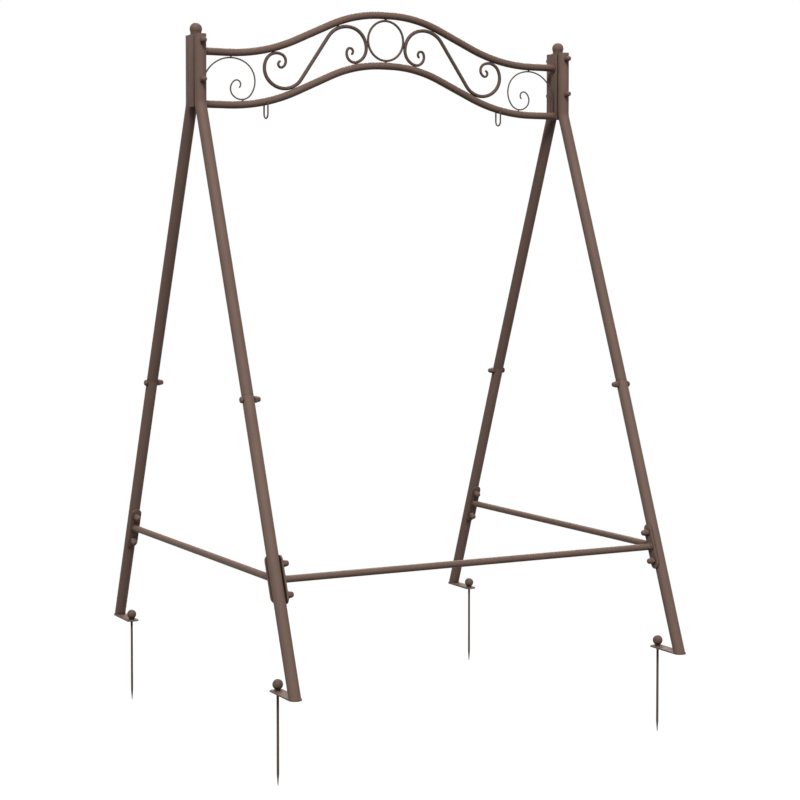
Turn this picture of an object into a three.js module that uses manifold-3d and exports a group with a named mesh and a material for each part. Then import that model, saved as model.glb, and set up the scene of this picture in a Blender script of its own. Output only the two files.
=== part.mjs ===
// Steel stand for a garden swing: two A-shaped ends, an arched double header with scrolls
// between them, braces low down, and four stakes that pin its feet to the ground.
// Millimetres. +X runs along the header to the right, +Y to the back, +Z up.
// The origin is on the ground, midway between the four feet.

import * as THREE from 'three';
import Module from 'manifold-3d';
import { mergeVertices } from 'three/addons/utils/BufferGeometryUtils.js';

const wasm = await Module();
wasm.setup();

// Clearances
const touchGap = 0.3; // left between two faces that touch
const slipGap = 0.4; // round a bolt or stake in its hole
const overrun = 5; // how far a cut runs past what it cuts

// End frames
const frameSpacing = 1390; // between the two ends, centre to centre
const postTop = 2022; // height of the tops of the posts
const tubeWall = 1.5;
const legDiameter = 38;
const bendDrop = 224; // from the top of a leg down to the corner of its bend
const bendRadius = 70;
const jointHeight = 864.7;
const jointSpread = 412.8; // from the middle plane out to the joint bolt
const footSpread = 749.5; // from the middle plane out to where a leg meets the ground
const seamRise = 12.9; // the seam between upper and lower leg, above the joint bolt
const spigotLength = 50;
const spigotNeck = 4; // length over which the bore narrows into the spigot
const headerPostWidth = 38;
const headerPostCorner = 3;
const headerPostTail = 11.3; // below the axis of the lower header tube

// Finials
const finialDiameter = 40.5;
const finialRise = 18.6; // centre of the ball above the post
const finialBaseDiameter = 36;

// Header tubes
const headerDiameter = 25;
const upperTubeDrop = 51.8; // ends of the upper tube below the tops of the posts
const headerDrop = 171.3; // lower tube below the upper tube
const headerEndFlat = 93; // from the post to where the tubes start to rise
const riseAngle = 24;
const riseLength = 140;
const crownRadius = 471;
const crownFlat = 32;
const headerCollarDiameter = 31;
const headerCollarLength = 5;

// Centre ring
const ringWire = 8;
const ringWeldGap = 1.65;

// S-shaped scrolls, drawn from their middles out to both ends, in shares of the header drop
const scrollDiameter = 12.6;
const scrollTipDiameter = 8.4;
const scrollTaper = 220;
const scrollWeldGap = 0.5;
const scrollWeld = 8;
const scrollCornerGap = 30; // least clear space to the thin scroll in the corner
const scrollHeading = 55.6;
const scrollMiddleShares = { out: 1.565, up: 0.54 };
const scrollOuterShares = [
  { straight: 0.509 },
  { radius: 0.4413, turn: -103.5 },
  { radius: 0.3538, turn: -66.7 },
  { radius: 0.2539, turn: -92.1 },
  { radius: 0.136, turn: -123.3 },
  { radius: 0.0613, turn: -180 },
];
const scrollInnerShares = [
  { straight: 0.5248 },
  { radius: 0.4997, turn: -67 },
  { radius: 0.404, turn: -80.8 },
  { radius: 0.2896, turn: -74.1 },
  { radius: 0.171, turn: -127.2 },
  { radius: 0.0654, turn: -203.3 },
];

// Thin scrolls in the corners by the posts, drawn from the foot, in shares of the header drop
const cornerWire = 5;
const cornerWeldGap = 2;
const cornerWeld = 5;
const cornerShares = [
  { straight: 0.2148 },
  { radius: 0.5919, turn: -115.3 },
  { radius: 0.4174, turn: -104.4 },
  { radius: 0.2423, turn: -93.3 },
  { radius: 0.1856, turn: -103.8 },
  { radius: 0.0811, turn: -167.8 },
];

// Hooks that the seat's chains hang on
const hookSpacing = 894;
const hookWire = 5.5;
const hookDrop = 55.6; // axis of the header tube to the middle of the wire at the hook's bottom

// Braces
const braceHeight = 337.2;
const braceDiameter = 22;
const braceCollarDiameter = 28;
const braceCollarLength = 5;
const bracePlateLength = 150;
const bracePlateWidth = 37;
const bracePlateThickness = 5;
const bracePlateBoltSpacing = 96;

// Feet and stakes
const footPlateWidth = 42;
const footPlateThickness = 5;
const footPlateReach = 143.5; // from where the leg meets the ground in to the plate's end
const footPlateCorner = 8;
const stakeInset = 122.5; // from where the leg meets the ground in to the stake
const stakeDiameter = 8;
const stakeDepth = 284;
const stakePoint = 36;
const stakeBallDiameter = 32.7;
const stakeBallHeight = 23.3;
const stakeCollarDiameter = 18;

// Bolts and cap nuts
const boltDiameter = 12;
const headDiameter = 21;
const headHeight = 9;
const nutFlats = 19;
const nutHexHeight = 10;
const nutHeight = 22;
const nutDomeDiameter = 18;
const nutChamfer = 1;
const postBoltDrops = { top: 22, bottom: 147 }; // below the tops of the posts
const plateScrewDiameter = 10;
const plateScrewReach = 9; // into the leg, past the plate
const plateNutScale = 1.1; // cap nuts on the plate screws, against those on the bolts

// How finely round shapes are cut into flats
const chordError = 0.6; // how far a chord of a bend may lie inside the true curve
const widestStep = 30; // degrees of bend between two sections, at most
const legSides = 12;
const headerSides = 12;
const scrollSides = 8;
const wireSides = 6;
const braceSides = 12;
const boltSides = 12;
const stakeSides = 12;
const ballSides = 14;
const holeSides = 10;

// Worked out from the sizes above
const legRadius = legDiameter / 2;
const headerRadius = headerDiameter / 2;
const legOffset = headerPostWidth / 2 + touchGap + legRadius;
const upperTubeHeight = postTop - upperTubeDrop;
const headerPostBottom = upperTubeHeight - headerDrop - headerPostTail;
const headerHalfSpan = frameSpacing / 2 - headerPostWidth / 2 - touchGap;
const bracePlateLift = legRadius + touchGap;
const footPlateInnerEnd = footSpread - footPlateReach;
const stakeSpread = footSpread - stakeInset;

const xAxis = new THREE.Vector3(1, 0, 0);
const yAxis = new THREE.Vector3(0, 1, 0);
const zAxis = new THREE.Vector3(0, 0, 1);
const planeXZ = { u: xAxis, v: zAxis, normal: new THREE.Vector3(0, -1, 0) };
const planeYZ = { u: yAxis, v: zAxis, normal: xAxis };

const radians = THREE.MathUtils.degToRad;
const degrees = THREE.MathUtils.radToDeg;
const turnHalf = 180;
const turnQuarter = 90;

// Follows straight and round runs from a start and gives the stations on the way:
// place in the plane, heading in degrees and the length travelled. A left turn is positive.
function trace(start, heading, runs) {
  const stations = [{ u: start.u, v: start.v, heading, travel: 0 }];
  for (const run of runs) {
    const from = stations.at(-1);
    if (run.straight !== undefined) {
      stations.push(ahead(from, run.straight));
      continue;
    }
    const side = Math.sign(run.turn) * run.radius;
    const centreU = from.u - side * Math.sin(radians(from.heading));
    const centreV = from.v + side * Math.cos(radians(from.heading));
    const chordStep = 2 * degrees(Math.acos(1 - chordError / run.radius));
    const steps = Math.ceil(Math.abs(run.turn) / Math.min(chordStep, widestStep));
    for (let i = 1; i <= steps; i++) {
      const turned = (run.turn * i) / steps;
      const angle = radians(from.heading + turned);
      stations.push({
        u: centreU + side * Math.sin(angle),
        v: centreV - side * Math.cos(angle),
        heading: from.heading + turned,
        travel: from.travel + run.radius * Math.abs(radians(turned)),
      });
    }
  }
  return stations;
}

function ahead(station, distance) {
  return {
    u: station.u + distance * Math.cos(radians(station.heading)),
    v: station.v + distance * Math.sin(radians(station.heading)),
    heading: station.heading,
    travel: station.travel + distance,
  };
}

function reversed(stations) {
  const total = stations.at(-1).travel;
  return stations.toReversed().map((station) => ({
    ...station,
    heading: station.heading + turnHalf,
    travel: total - station.travel,
  }));
}

// Two paths that share their first station, joined from the end of one to the end of the other
function joinedPath(one, other) {
  const offset = one.at(-1).travel;
  const rest = other.slice(1).map((station) => ({ ...station, travel: station.travel + offset }));
  return [...reversed(one), ...rest];
}

function scaledRuns(runs, length) {
  return runs.map((run) =>
    run.straight === undefined
      ? { radius: run.radius * length, turn: run.turn }
      : { straight: run.straight * length },
  );
}

function placeOf(station, plane) {
  return new THREE.Vector3().addScaledVector(plane.u, station.u).addScaledVector(plane.v, station.v);
}

function directionOf(station, plane) {
  const heading = radians(station.heading);
  return new THREE.Vector3()
    .addScaledVector(plane.u, Math.cos(heading))
    .addScaledVector(plane.v, Math.sin(heading));
}

// A round section square to the path at a station
function ringAt(station, radius, sides, plane) {
  const centre = placeOf(station, plane);
  const across = directionOf({ heading: station.heading + turnQuarter }, plane);
  return Array.from({ length: sides }, (_, i) => {
    const angle = (2 * Math.PI * i) / sides;
    return centre
      .clone()
      .addScaledVector(across, radius * Math.cos(angle))
      .addScaledVector(plane.normal, radius * Math.sin(angle));
  });
}

// A section slid along a direction until it lies in a plane, for a slanted end
function slideTo(ring, direction, endPlane) {
  const slope = endPlane.normal.dot(direction);
  return ring.map((point) =>
    point.clone().addScaledVector(direction, -endPlane.distanceToPoint(point) / slope),
  );
}

// Joins rings with equal numbers of points into one closed body with its faces pointing out.
// A body that goes all the way round joins its last ring to its first, and any other is capped.
function skin(rings, goesRound = false) {
  const count = rings[0].length;
  const index = [];
  const bands = goesRound ? rings.length : rings.length - 1;
  for (let band = 0; band < bands; band++) {
    const here = band * count;
    const there = ((band + 1) % rings.length) * count;
    for (let side = 0; side < count; side++) {
      const next = (side + 1) % count;
      index.push(here + side, here + next, there + next);
      index.push(here + side, there + next, there + side);
    }
  }
  if (!goesRound) {
    const last = bands * count;
    for (let side = 1; side < count - 1; side++) {
      index.push(0, side + 1, side);
      index.push(last, last + side, last + side + 1);
    }
  }
  const geometry = new THREE.BufferGeometry();
  const positions = rings.flat().flatMap((point) => point.toArray());
  geometry.setAttribute('position', new THREE.Float32BufferAttribute(positions, 3));
  geometry.setIndex(index);
  return geometry;
}

// A hollow tube, open at both ends, from its outer and inner sections in the same order
function pipe(outerRings, innerRings) {
  return skin([...outerRings, ...innerRings.toReversed()], true);
}

// A turned body about +Z, from points of radius and height
function turned(profile, sides) {
  const points = profile.map(([radius, height]) => new THREE.Vector2(radius, height));
  return new THREE.LatheGeometry(points, sides).rotateX(radians(turnQuarter));
}

// Points of a sphere's outline between two heights above its centre
function ballOutline(radius, centre, fromHeight, toHeight, steps) {
  const from = Math.asin(fromHeight / radius);
  const to = Math.asin(toHeight / radius);
  return Array.from({ length: steps + 1 }, (_, i) => {
    const angle = from + ((to - from) * i) / steps;
    const reach = i === steps && toHeight === radius ? 0 : radius * Math.cos(angle);
    return [reach, centre + radius * Math.sin(angle)];
  });
}

function mirroredX(geometry) {
  const copy = geometry.clone().scale(-1, 1, 1);
  const index = copy.getIndex();
  for (let i = 0; i < index.count; i += 3) {
    const second = index.getX(i + 1);
    index.setX(i + 1, index.getX(i + 2));
    index.setX(i + 2, second);
  }
  return copy;
}

// Solids for joining and cutting
function toSolid(geometry) {
  const bare = new THREE.BufferGeometry();
  bare.setAttribute('position', geometry.getAttribute('position'));
  bare.setIndex(geometry.getIndex());
  const merged = mergeVertices(bare);
  const corners = merged.getIndex().array;
  const triangles = [];
  for (let i = 0; i < corners.length; i += 3) {
    const [a, b, c] = corners.slice(i, i + 3);
    if (a !== b && b !== c && c !== a) triangles.push(a, b, c);
  }
  return new wasm.Manifold(
    new wasm.Mesh({
      numProp: 3,
      vertProperties: new Float32Array(merged.getAttribute('position').array),
      triVerts: new Uint32Array(triangles),
    }),
  );
}

function toGeometry(solid) {
  const mesh = solid.getMesh();
  const geometry = new THREE.BufferGeometry();
  geometry.setAttribute('position', new THREE.BufferAttribute(new Float32Array(mesh.vertProperties), 3));
  geometry.setIndex(new THREE.BufferAttribute(new Uint32Array(mesh.triVerts), 1));
  return geometry;
}

function cut(body, tools) {
  return toGeometry(tools.reduce((solid, tool) => solid.subtract(toSolid(tool)), toSolid(body)));
}

function join(body, pieces) {
  return toGeometry(pieces.reduce((solid, piece) => solid.add(toSolid(piece)), toSolid(body)));
}

// A cylinder from one point to another
function rodBetween(from, to, radius, sides) {
  const axis = to.clone().sub(from);
  const geometry = new THREE.CylinderGeometry(radius, radius, axis.length(), sides);
  geometry.applyQuaternion(new THREE.Quaternion().setFromUnitVectors(yAxis, axis.clone().normalize()));
  return geometry.translate(...from.clone().add(to).multiplyScalar(1 / 2).toArray());
}

// A cutter for a hole along a direction through a point
function holeCutter(centre, direction, halfLength, diameter) {
  const from = centre.clone().addScaledVector(direction, -halfLength);
  const to = centre.clone().addScaledVector(direction, halfLength);
  return rodBetween(from, to, diameter / 2 + slipGap, holeSides);
}

// Paths near each other

// The narrowest place between a path's stations and another path, measured from the skin of the
// rod on the first path, whose radius is given station by station, to the middle of the second
function nearest(path, target, radiusAt) {
  let best = { space: Infinity };
  for (const station of path) {
    for (let i = 1; i < target.length; i++) {
      const a = target[i - 1];
      const b = target[i];
      const du = b.u - a.u;
      const dv = b.v - a.v;
      const along = ((station.u - a.u) * du + (station.v - a.v) * dv) / (du * du + dv * dv);
      const share = THREE.MathUtils.clamp(along, 0, 1);
      const point = { u: a.u + du * share, v: a.v + dv * share };
      const distance = Math.hypot(station.u - point.u, station.v - point.v);
      const space = distance - radiusAt(station);
      if (space < best.space) best = { space, distance, from: station, to: point };
    }
  }
  return best;
}

function heightAt(path, u) {
  const i = path.findIndex((station) => station.u > u);
  const a = path[i - 1];
  const b = path[i];
  return a.v + ((b.v - a.v) * (u - a.u)) / (b.u - a.u);
}

// A short weld post in the XZ plane from the middle of a rod to the skin of the tube next to it
function weldPost(rodPath, tubePath, tubeRadius, diameter) {
  const { distance, from, to } = nearest(rodPath, tubePath, () => 0);
  const start = placeOf(from, planeXZ);
  const reach = (distance - tubeRadius - touchGap) / distance;
  const end = start.clone().lerp(placeOf(to, planeXZ), reach);
  return rodBetween(start, end, diameter / 2, scrollSides);
}

// Legs, drawn in the YZ plane and leaning out along +Y

const jointPoint = { u: jointSpread, v: jointHeight };
const lowerHeading = -degrees(Math.atan2(jointHeight, footSpread - jointSpread));
const seam = ahead({ ...jointPoint, heading: lowerHeading, travel: 0 }, -seamRise);
const bendCorner = { u: legOffset, v: postTop - bendDrop };
const upperHeading = -degrees(Math.atan2(bendCorner.v - seam.v, seam.u - bendCorner.u));
const legAxis = directionOf({ heading: lowerHeading }, planeYZ);
const legInward = directionOf({ heading: lowerHeading - turnQuarter }, planeYZ);
const braceSpread = jointSpread + ((jointHeight - braceHeight) / jointHeight) * (footSpread - jointSpread);
const bracePoint = placeOf({ u: braceSpread, v: braceHeight }, planeYZ);

// A plate is centred on its bar, so one on a slanted face sits a little further up the leg
function plateCentre(facing, lift) {
  const faceCentre = bracePoint.clone().addScaledVector(facing, lift);
  const rise = (braceHeight - faceCentre.z) / legAxis.z;
  return faceCentre.addScaledVector(legAxis, rise);
}

// The two screws of a brace plate lie this far either way along the leg
const screwOffsets = [-bracePlateBoltSpacing / 2, bracePlateBoltSpacing / 2];

function upperLeg() {
  const bend = upperHeading + turnQuarter;
  const tangent = bendRadius * Math.tan(radians(bend / 2));
  const slope = Math.hypot(seam.u - bendCorner.u, seam.v - bendCorner.v);
  const runs = [
    { straight: bendDrop - tangent },
    { radius: bendRadius, turn: bend },
    { straight: slope - tangent - spigotNeck },
  ];
  const body = trace({ u: legOffset, v: postTop }, -turnQuarter, runs);
  const spigotEnd = ahead(seam, spigotLength);
  const spigotRadius = legRadius - tubeWall - touchGap;
  const ring = (station, radius) => ringAt(station, radius, legSides, planeYZ);
  const outer = [
    ...body.map((station) => ring(station, legRadius)),
    ring(seam, legRadius),
    ring(seam, spigotRadius),
    ring(spigotEnd, spigotRadius),
  ];
  const roof = ahead(body[0], tubeWall);
  const inner = [
    ring(roof, legRadius - tubeWall),
    ...body.slice(1).map((station) => ring(station, legRadius - tubeWall)),
    ring(seam, spigotRadius - tubeWall),
    ring(spigotEnd, spigotRadius - tubeWall),
  ];
  const shell = skin([...outer, ...inner.toReversed()]);
  const postHoles = Object.values(postBoltDrops).map((drop) =>
    holeCutter(new THREE.Vector3(0, legOffset, postTop - drop), yAxis, legDiameter, boltDiameter),
  );
  return cut(shell, [...postHoles, jointHole()]);
}

function jointHole() {
  return holeCutter(placeOf(jointPoint, planeYZ), xAxis, legDiameter, boltDiameter);
}

// Holes for the screws of a brace plate, on one face of the leg
function plateHoles(facing) {
  return screwOffsets.map((offset) => {
    const face = plateCentre(facing, bracePlateLift).addScaledVector(legAxis, offset);
    const inside = face.clone().addScaledVector(facing, -legRadius);
    const outside = face.clone().addScaledVector(facing, overrun);
    return rodBetween(inside, outside, plateScrewDiameter / 2 + slipGap, holeSides);
  });
}

// A leg with a plate screwed to its inner face, and to the face on `plateSide` if that isn't zero
function lowerLeg(plateSide) {
  const top = ahead(seam, touchGap);
  const length = Math.hypot(footSpread - top.u, top.v);
  const bottom = ahead(top, length);
  const floor = new THREE.Plane(zAxis, -footPlateThickness - touchGap);
  const wallRings = (radius) => [
    ringAt(top, radius, legSides, planeYZ),
    slideTo(ringAt(bottom, radius, legSides, planeYZ), legAxis, floor),
  ];
  const tube = pipe(wallRings(legRadius), wallRings(legRadius - tubeWall));
  const sideHoles = plateSide === 0 ? [] : plateHoles(xAxis.clone().multiplyScalar(plateSide));
  return cut(tube, [jointHole(), ...plateHoles(legInward), ...sideHoles]);
}

// Header post, a square tube with a closed top

function roundedSquare(width, radius) {
  const half = width / 2;
  const inner = half - radius;
  const shape = new THREE.Shape();
  shape.moveTo(half, -inner);
  shape.lineTo(half, inner);
  shape.absarc(inner, inner, radius, 0, Math.PI / 2);
  shape.lineTo(-inner, half);
  shape.absarc(-inner, inner, radius, Math.PI / 2, Math.PI);
  shape.lineTo(-half, -inner);
  shape.absarc(-inner, -inner, radius, Math.PI, (3 * Math.PI) / 2);
  shape.lineTo(inner, -half);
  shape.absarc(inner, -inner, radius, (3 * Math.PI) / 2, 2 * Math.PI);
  return shape;
}

function extruded(shape, depth, curveSegments) {
  return new THREE.ExtrudeGeometry(shape, { depth, curveSegments, bevelEnabled: false });
}

function headerPost() {
  const length = postTop - headerPostBottom;
  const cornerSteps = 1;
  const outside = extruded(roundedSquare(headerPostWidth, headerPostCorner), length, cornerSteps);
  const inside = extruded(
    roundedSquare(headerPostWidth - 2 * tubeWall, headerPostCorner - tubeWall),
    length + overrun - tubeWall,
    cornerSteps,
  );
  outside.translate(0, 0, headerPostBottom);
  inside.translate(0, 0, headerPostBottom - overrun);
  const holes = Object.values(postBoltDrops).map((drop) =>
    holeCutter(new THREE.Vector3(0, 0, postTop - drop), yAxis, headerPostWidth, boltDiameter),
  );
  return cut(outside, [inside, ...holes]);
}

// A ball on a short round base, standing on the post at height zero
function finial() {
  const ball = finialDiameter / 2;
  const base = finialBaseDiameter / 2;
  const meeting = -Math.sqrt(ball * ball - base * base);
  const outline = ballOutline(ball, finialRise, meeting, ball, ballSides / 2);
  return turned([[0, touchGap], [base, touchGap], ...outline], ballSides);
}

// Header, drawn in the XZ plane with the ends of the upper tube at height zero

const upperPath = headerPath(0);
const lowerPath = headerPath(-headerDrop);

// The flare between the flat end and the slope takes what the other runs leave of the span
function headerPath(height) {
  const rise = radians(riseAngle);
  const straights = headerEndFlat + riseLength * Math.cos(rise) + crownFlat / 2;
  const flareRadius = (headerHalfSpan - straights) / Math.sin(rise) - crownRadius;
  const climb = [
    { straight: headerEndFlat },
    { radius: flareRadius, turn: riseAngle },
    { straight: riseLength },
    { radius: crownRadius, turn: -riseAngle },
  ];
  const fall = climb.toReversed();
  const start = { u: -headerHalfSpan, v: height };
  return trace(start, 0, [...climb, { straight: crownFlat }, ...fall]);
}

function headerTube() {
  const path = upperPath;
  const ring = (station, radius) => ringAt(station, radius, headerSides, planeXZ);
  const collar = (station) => ring(station, headerCollarDiameter / 2);
  const first = path[0];
  const last = path.at(-1);
  const afterFirst = ahead(first, headerCollarLength);
  const beforeLast = ahead(last, -headerCollarLength);
  const outer = [
    collar(first),
    collar(afterFirst),
    ring(afterFirst, headerRadius),
    ...path.slice(1, -1).map((station) => ring(station, headerRadius)),
    ring(beforeLast, headerRadius),
    collar(beforeLast),
    collar(last),
  ];
  const inner = path.map((station) => ring(station, headerRadius - tubeWall));
  return pipe(outer, inner);
}

const ringRadius = headerDrop / 2 - headerRadius - ringWeldGap - ringWire / 2;
const ringStart = { u: ringRadius, v: heightAt(upperPath, 0) - headerDrop / 2 };
const ringPath = trace(ringStart, turnQuarter, [{ radius: ringRadius, turn: 2 * turnHalf }]);

function centreRing() {
  const rings = ringPath.slice(0, -1).map((station) => ringAt(station, ringWire / 2, scrollSides, planeXZ));
  const posts = [upperPath, lowerPath].map((path) => weldPost(ringPath, path, headerRadius, ringWire));
  return join(skin(rings, true), posts);
}

// Stations stretched along the plane's first direction, away from a middle
function stretched(stations, middle, stretch) {
  return stations.map((station) => {
    const heading = radians(station.heading);
    const u = middle.u + (station.u - middle.u) * stretch;
    return { ...station, u, heading: degrees(Math.atan2(Math.sin(heading), Math.cos(heading) * stretch)) };
  });
}

// The left S-shaped scroll at a size, stretch and place
function scrollPath(size, stretch, middle) {
  const half = (heading, shares) => {
    const round = trace(middle, heading, scaledRuns(shares, size));
    return stretched(round, middle, stretch);
  };
  const outer = half(scrollHeading + turnHalf, scrollOuterShares);
  const inner = half(scrollHeading, scrollInnerShares);
  return { outer, inner, whole: joinedPath(outer, inner) };
}

// The radius of the scroll's bar at a station, thinner towards both ends of its length
function scrollRadius(length) {
  return (station) => {
    const fromEnd = Math.min(station.travel, length - station.travel);
    const fullness = Math.min(1, fromEnd / scrollTaper);
    return THREE.MathUtils.lerp(scrollTipDiameter, scrollDiameter, fullness) / 2;
  };
}

// Sizes and shifts the scroll until it rests on the lower tube and against the centre ring and
// reaches up to the weld under the upper tube. Its curves are round, or narrower where the
// corner scroll leaves them too little space
function seatedScroll() {
  const left = -scrollMiddleShares.out * headerDrop;
  const middle = { u: left, v: heightAt(lowerPath, left) + scrollMiddleShares.up * headerDrop };
  const corner = seatedCorner().path;
  const rounds = 40;
  let size = headerDrop;
  let stretch = 1;
  for (let i = 0; i < rounds; i++) {
    const { whole } = scrollPath(size, stretch, middle);
    const width = whole.at(-1).u - whole[0].u;
    const radiusAt = scrollRadius(whole.at(-1).travel);
    const below = nearest(whole, lowerPath, radiusAt).space - headerRadius - touchGap;
    const above = nearest(whole, upperPath, radiusAt).space - headerRadius - scrollWeldGap;
    const beside = nearest(whole, ringPath, radiusAt).space - ringWire / 2 - touchGap;
    const apart = nearest(whole, corner, radiusAt).space - cornerWire / 2 - scrollCornerGap;
    size += (above + below) / 2;
    stretch = Math.min(1, stretch + apart / (2 * width));
    middle.u += beside / 2;
    middle.v += (above - below) / 2;
  }
  return scrollPath(size, stretch, middle);
}

function scroll() {
  const { outer, inner, whole } = seatedScroll();
  const radiusAt = scrollRadius(whole.at(-1).travel);
  const rings = whole.map((station) => ringAt(station, radiusAt(station), scrollSides, planeXZ));
  const posts = [outer, inner].map((half) => weldPost(half, upperPath, headerRadius, scrollWeld));
  return join(skin(rings), posts);
}

// The left thin scroll, standing on the collar of the lower tube against the post
function cornerPath(size) {
  const start = {
    u: -headerHalfSpan + cornerWire / 2,
    v: -headerDrop + headerCollarDiameter / 2 + touchGap,
  };
  return trace(start, turnQuarter, scaledRuns(cornerShares, size));
}

// The corner scroll at the size at which it fits between the tubes, with its half on the lower tube
function seatedCorner() {
  const reach = headerRadius + cornerWeldGap;
  const radiusAt = () => cornerWire / 2;
  const footShare = 1 / 3; // of the path, which stands on the lower tube's collar
  const rounds = 30;
  let size = headerDrop;
  let path = cornerPath(size);
  const lowerHalf = () => path.slice(Math.ceil(path.length * footShare));
  for (let i = 0; i < rounds; i++) {
    const above = nearest(path, upperPath, radiusAt).space - reach;
    const below = nearest(lowerHalf(), lowerPath, radiusAt).space - reach;
    size += Math.min(above, below) / 2;
    path = cornerPath(size);
  }
  return { path, lowerHalf: lowerHalf() };
}

function cornerScroll() {
  const { path, lowerHalf } = seatedCorner();
  const rings = path.map((station) => ringAt(station, cornerWire / 2, wireSides, planeXZ));
  const posts = [
    weldPost(path, upperPath, headerRadius, cornerWeld),
    weldPost(lowerHalf, lowerPath, headerRadius, cornerWeld),
  ];
  return join(skin(rings), posts);
}

// A wire loop round the underside of the lower tube, drawn with the tube's axis at height zero
function swingHook() {
  const side = headerRadius + touchGap + hookWire / 2;
  const shank = { straight: hookDrop - side };
  const path = trace({ u: -side, v: 0 }, -turnQuarter, [shank, { radius: side, turn: turnHalf }, shank]);
  return skin(path.map((station) => ringAt(station, hookWire / 2, scrollSides, planeYZ)));
}

// Braces

// A bar with a welded collar at each end, between two end planes whose normals face each other
function brace(axis, middle, ends) {
  const plane = axis === 'x' ? planeXZ : planeYZ;
  const station = { u: 0, v: 0, heading: 0, travel: 0 };
  const direction = directionOf(station, plane);
  const at = (radius, end, inset) => {
    const ring = ringAt(station, radius, braceSides, plane).map((point) => point.add(middle));
    const endPlane = new THREE.Plane(end.normal, end.constant - inset);
    return slideTo(ring, direction, endPlane);
  };
  const [start, finish] = ends;
  const outer = [
    at(braceCollarDiameter / 2, start, touchGap),
    at(braceCollarDiameter / 2, start, touchGap + braceCollarLength),
    at(braceDiameter / 2, start, touchGap + braceCollarLength),
    at(braceDiameter / 2, finish, touchGap + braceCollarLength),
    at(braceCollarDiameter / 2, finish, touchGap + braceCollarLength),
    at(braceCollarDiameter / 2, finish, touchGap),
  ];
  const bore = braceDiameter / 2 - tubeWall;
  return pipe(outer, [at(bore, start, touchGap), at(bore, finish, touchGap)]);
}

// The outer faces of the brace plates, as planes that the bars end at
function facePlane(point, normal) {
  return new THREE.Plane().setFromNormalAndCoplanarPoint(normal, point);
}

function sideBar() {
  const back = plateCentre(legInward, bracePlateLift + bracePlateThickness);
  const flip = (vector) => new THREE.Vector3(vector.x, -vector.y, vector.z);
  const ends = [facePlane(flip(back), flip(legInward)), facePlane(back, legInward)];
  return brace('y', new THREE.Vector3(0, 0, braceHeight), ends);
}

function frontBar() {
  const face = frameSpacing / 2 - bracePlateLift - bracePlateThickness;
  const ends = [-1, 1].map((side) =>
    facePlane(new THREE.Vector3(side * face, 0, 0), new THREE.Vector3(-side, 0, 0)),
  );
  return brace('x', new THREE.Vector3(0, -braceSpread, braceHeight), ends);
}

// A plate with round ends and two screw holes, lying on height zero, long along +Y
function bracePlate() {
  const half = bracePlateWidth / 2;
  const straight = bracePlateLength / 2 - half;
  const shape = new THREE.Shape();
  shape.moveTo(half, -straight);
  shape.lineTo(half, straight);
  shape.absarc(0, straight, half, 0, Math.PI);
  shape.lineTo(-half, -straight);
  shape.absarc(0, -straight, half, Math.PI, 2 * Math.PI);
  shape.holes = screwOffsets.map((offset) =>
    new THREE.Path().absarc(0, offset, plateScrewDiameter / 2 + slipGap, 0, 2 * Math.PI),
  );
  const arcSteps = 4;
  return extruded(shape, bracePlateThickness, arcSteps);
}

// Feet

// A foot plate in the XY plane, leaning out along +Y: round about the leg, with clipped corners
function footPlate() {
  const half = footPlateWidth / 2;
  const shape = new THREE.Shape();
  shape.moveTo(-half + footPlateCorner, footPlateInnerEnd);
  shape.lineTo(half - footPlateCorner, footPlateInnerEnd);
  shape.lineTo(half, footPlateInnerEnd + footPlateCorner);
  shape.lineTo(half, footSpread);
  shape.absarc(0, footSpread, half, 0, Math.PI);
  shape.lineTo(-half, footPlateInnerEnd + footPlateCorner);
  shape.holes = [new THREE.Path().absarc(0, stakeSpread, stakeDiameter / 2 + slipGap, 0, 2 * Math.PI)];
  const arcSteps = 5;
  return extruded(shape, footPlateThickness, arcSteps);
}

// A pointed rod with a collar that stops it on the foot plate and a ball to push on
function stake() {
  const rod = stakeDiameter / 2;
  const ball = stakeBallDiameter / 2;
  const collar = stakeCollarDiameter / 2;
  const seat = footPlateThickness + touchGap;
  const meeting = -Math.sqrt(ball * ball - collar * collar);
  const outline = [
    [0, -stakeDepth],
    [rod, -stakeDepth + stakePoint],
    [rod, seat],
    [collar, seat],
    ...ballOutline(ball, stakeBallHeight, meeting, ball, stakeSides / 2),
  ];
  return turned(outline, stakeSides);
}

// Fasteners, with the face that they bear on at height zero and their axis on +Z

function boltRing(radius, height) {
  return ringAt({ u: 0, v: height, heading: turnQuarter }, radius, boltSides, planeXZ);
}

// A hexagon with a point midway along each flat, to match the twelve points of a round section
function hexRing(flats, height) {
  return boltRing(1, height).map((point, i) => {
    const reach = i % 2 === 0 ? flats / Math.sqrt(3) : flats / 2;
    return new THREE.Vector3(point.x * reach, point.y * reach, height);
  });
}

function domeRings(radius, base, height) {
  const riseShares = [0, 0.6, 1];
  const reachShares = [1, 0.8, 0.3];
  return riseShares.map((rise, i) => boltRing(radius * reachShares[i], base + rise * height));
}

// Hexagon and dome of a cap nut, going up from height zero
function capNutRings(scale = 1) {
  const rings = [
    boltRing(nutFlats / 2, 0),
    hexRing(nutFlats, nutChamfer),
    hexRing(nutFlats, nutHexHeight),
    ...domeRings(nutDomeDiameter / 2, nutHexHeight, nutHeight - nutHexHeight),
  ];
  return rings.map((ring) => ring.map((point) => point.multiplyScalar(scale)));
}

// A dome-headed bolt with a cap nut run home on it, clamping what lies between them
function throughBolt(grip) {
  const head = domeRings(headDiameter / 2, 0, headHeight);
  const flipped = head.toReversed().map((ring) => ring.map((point) => point.setZ(-grip - point.z)));
  const shank = [boltRing(boltDiameter / 2, -grip), boltRing(boltDiameter / 2, 0)];
  return skin([...flipped, ...shank, ...capNutRings()]);
}

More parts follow.
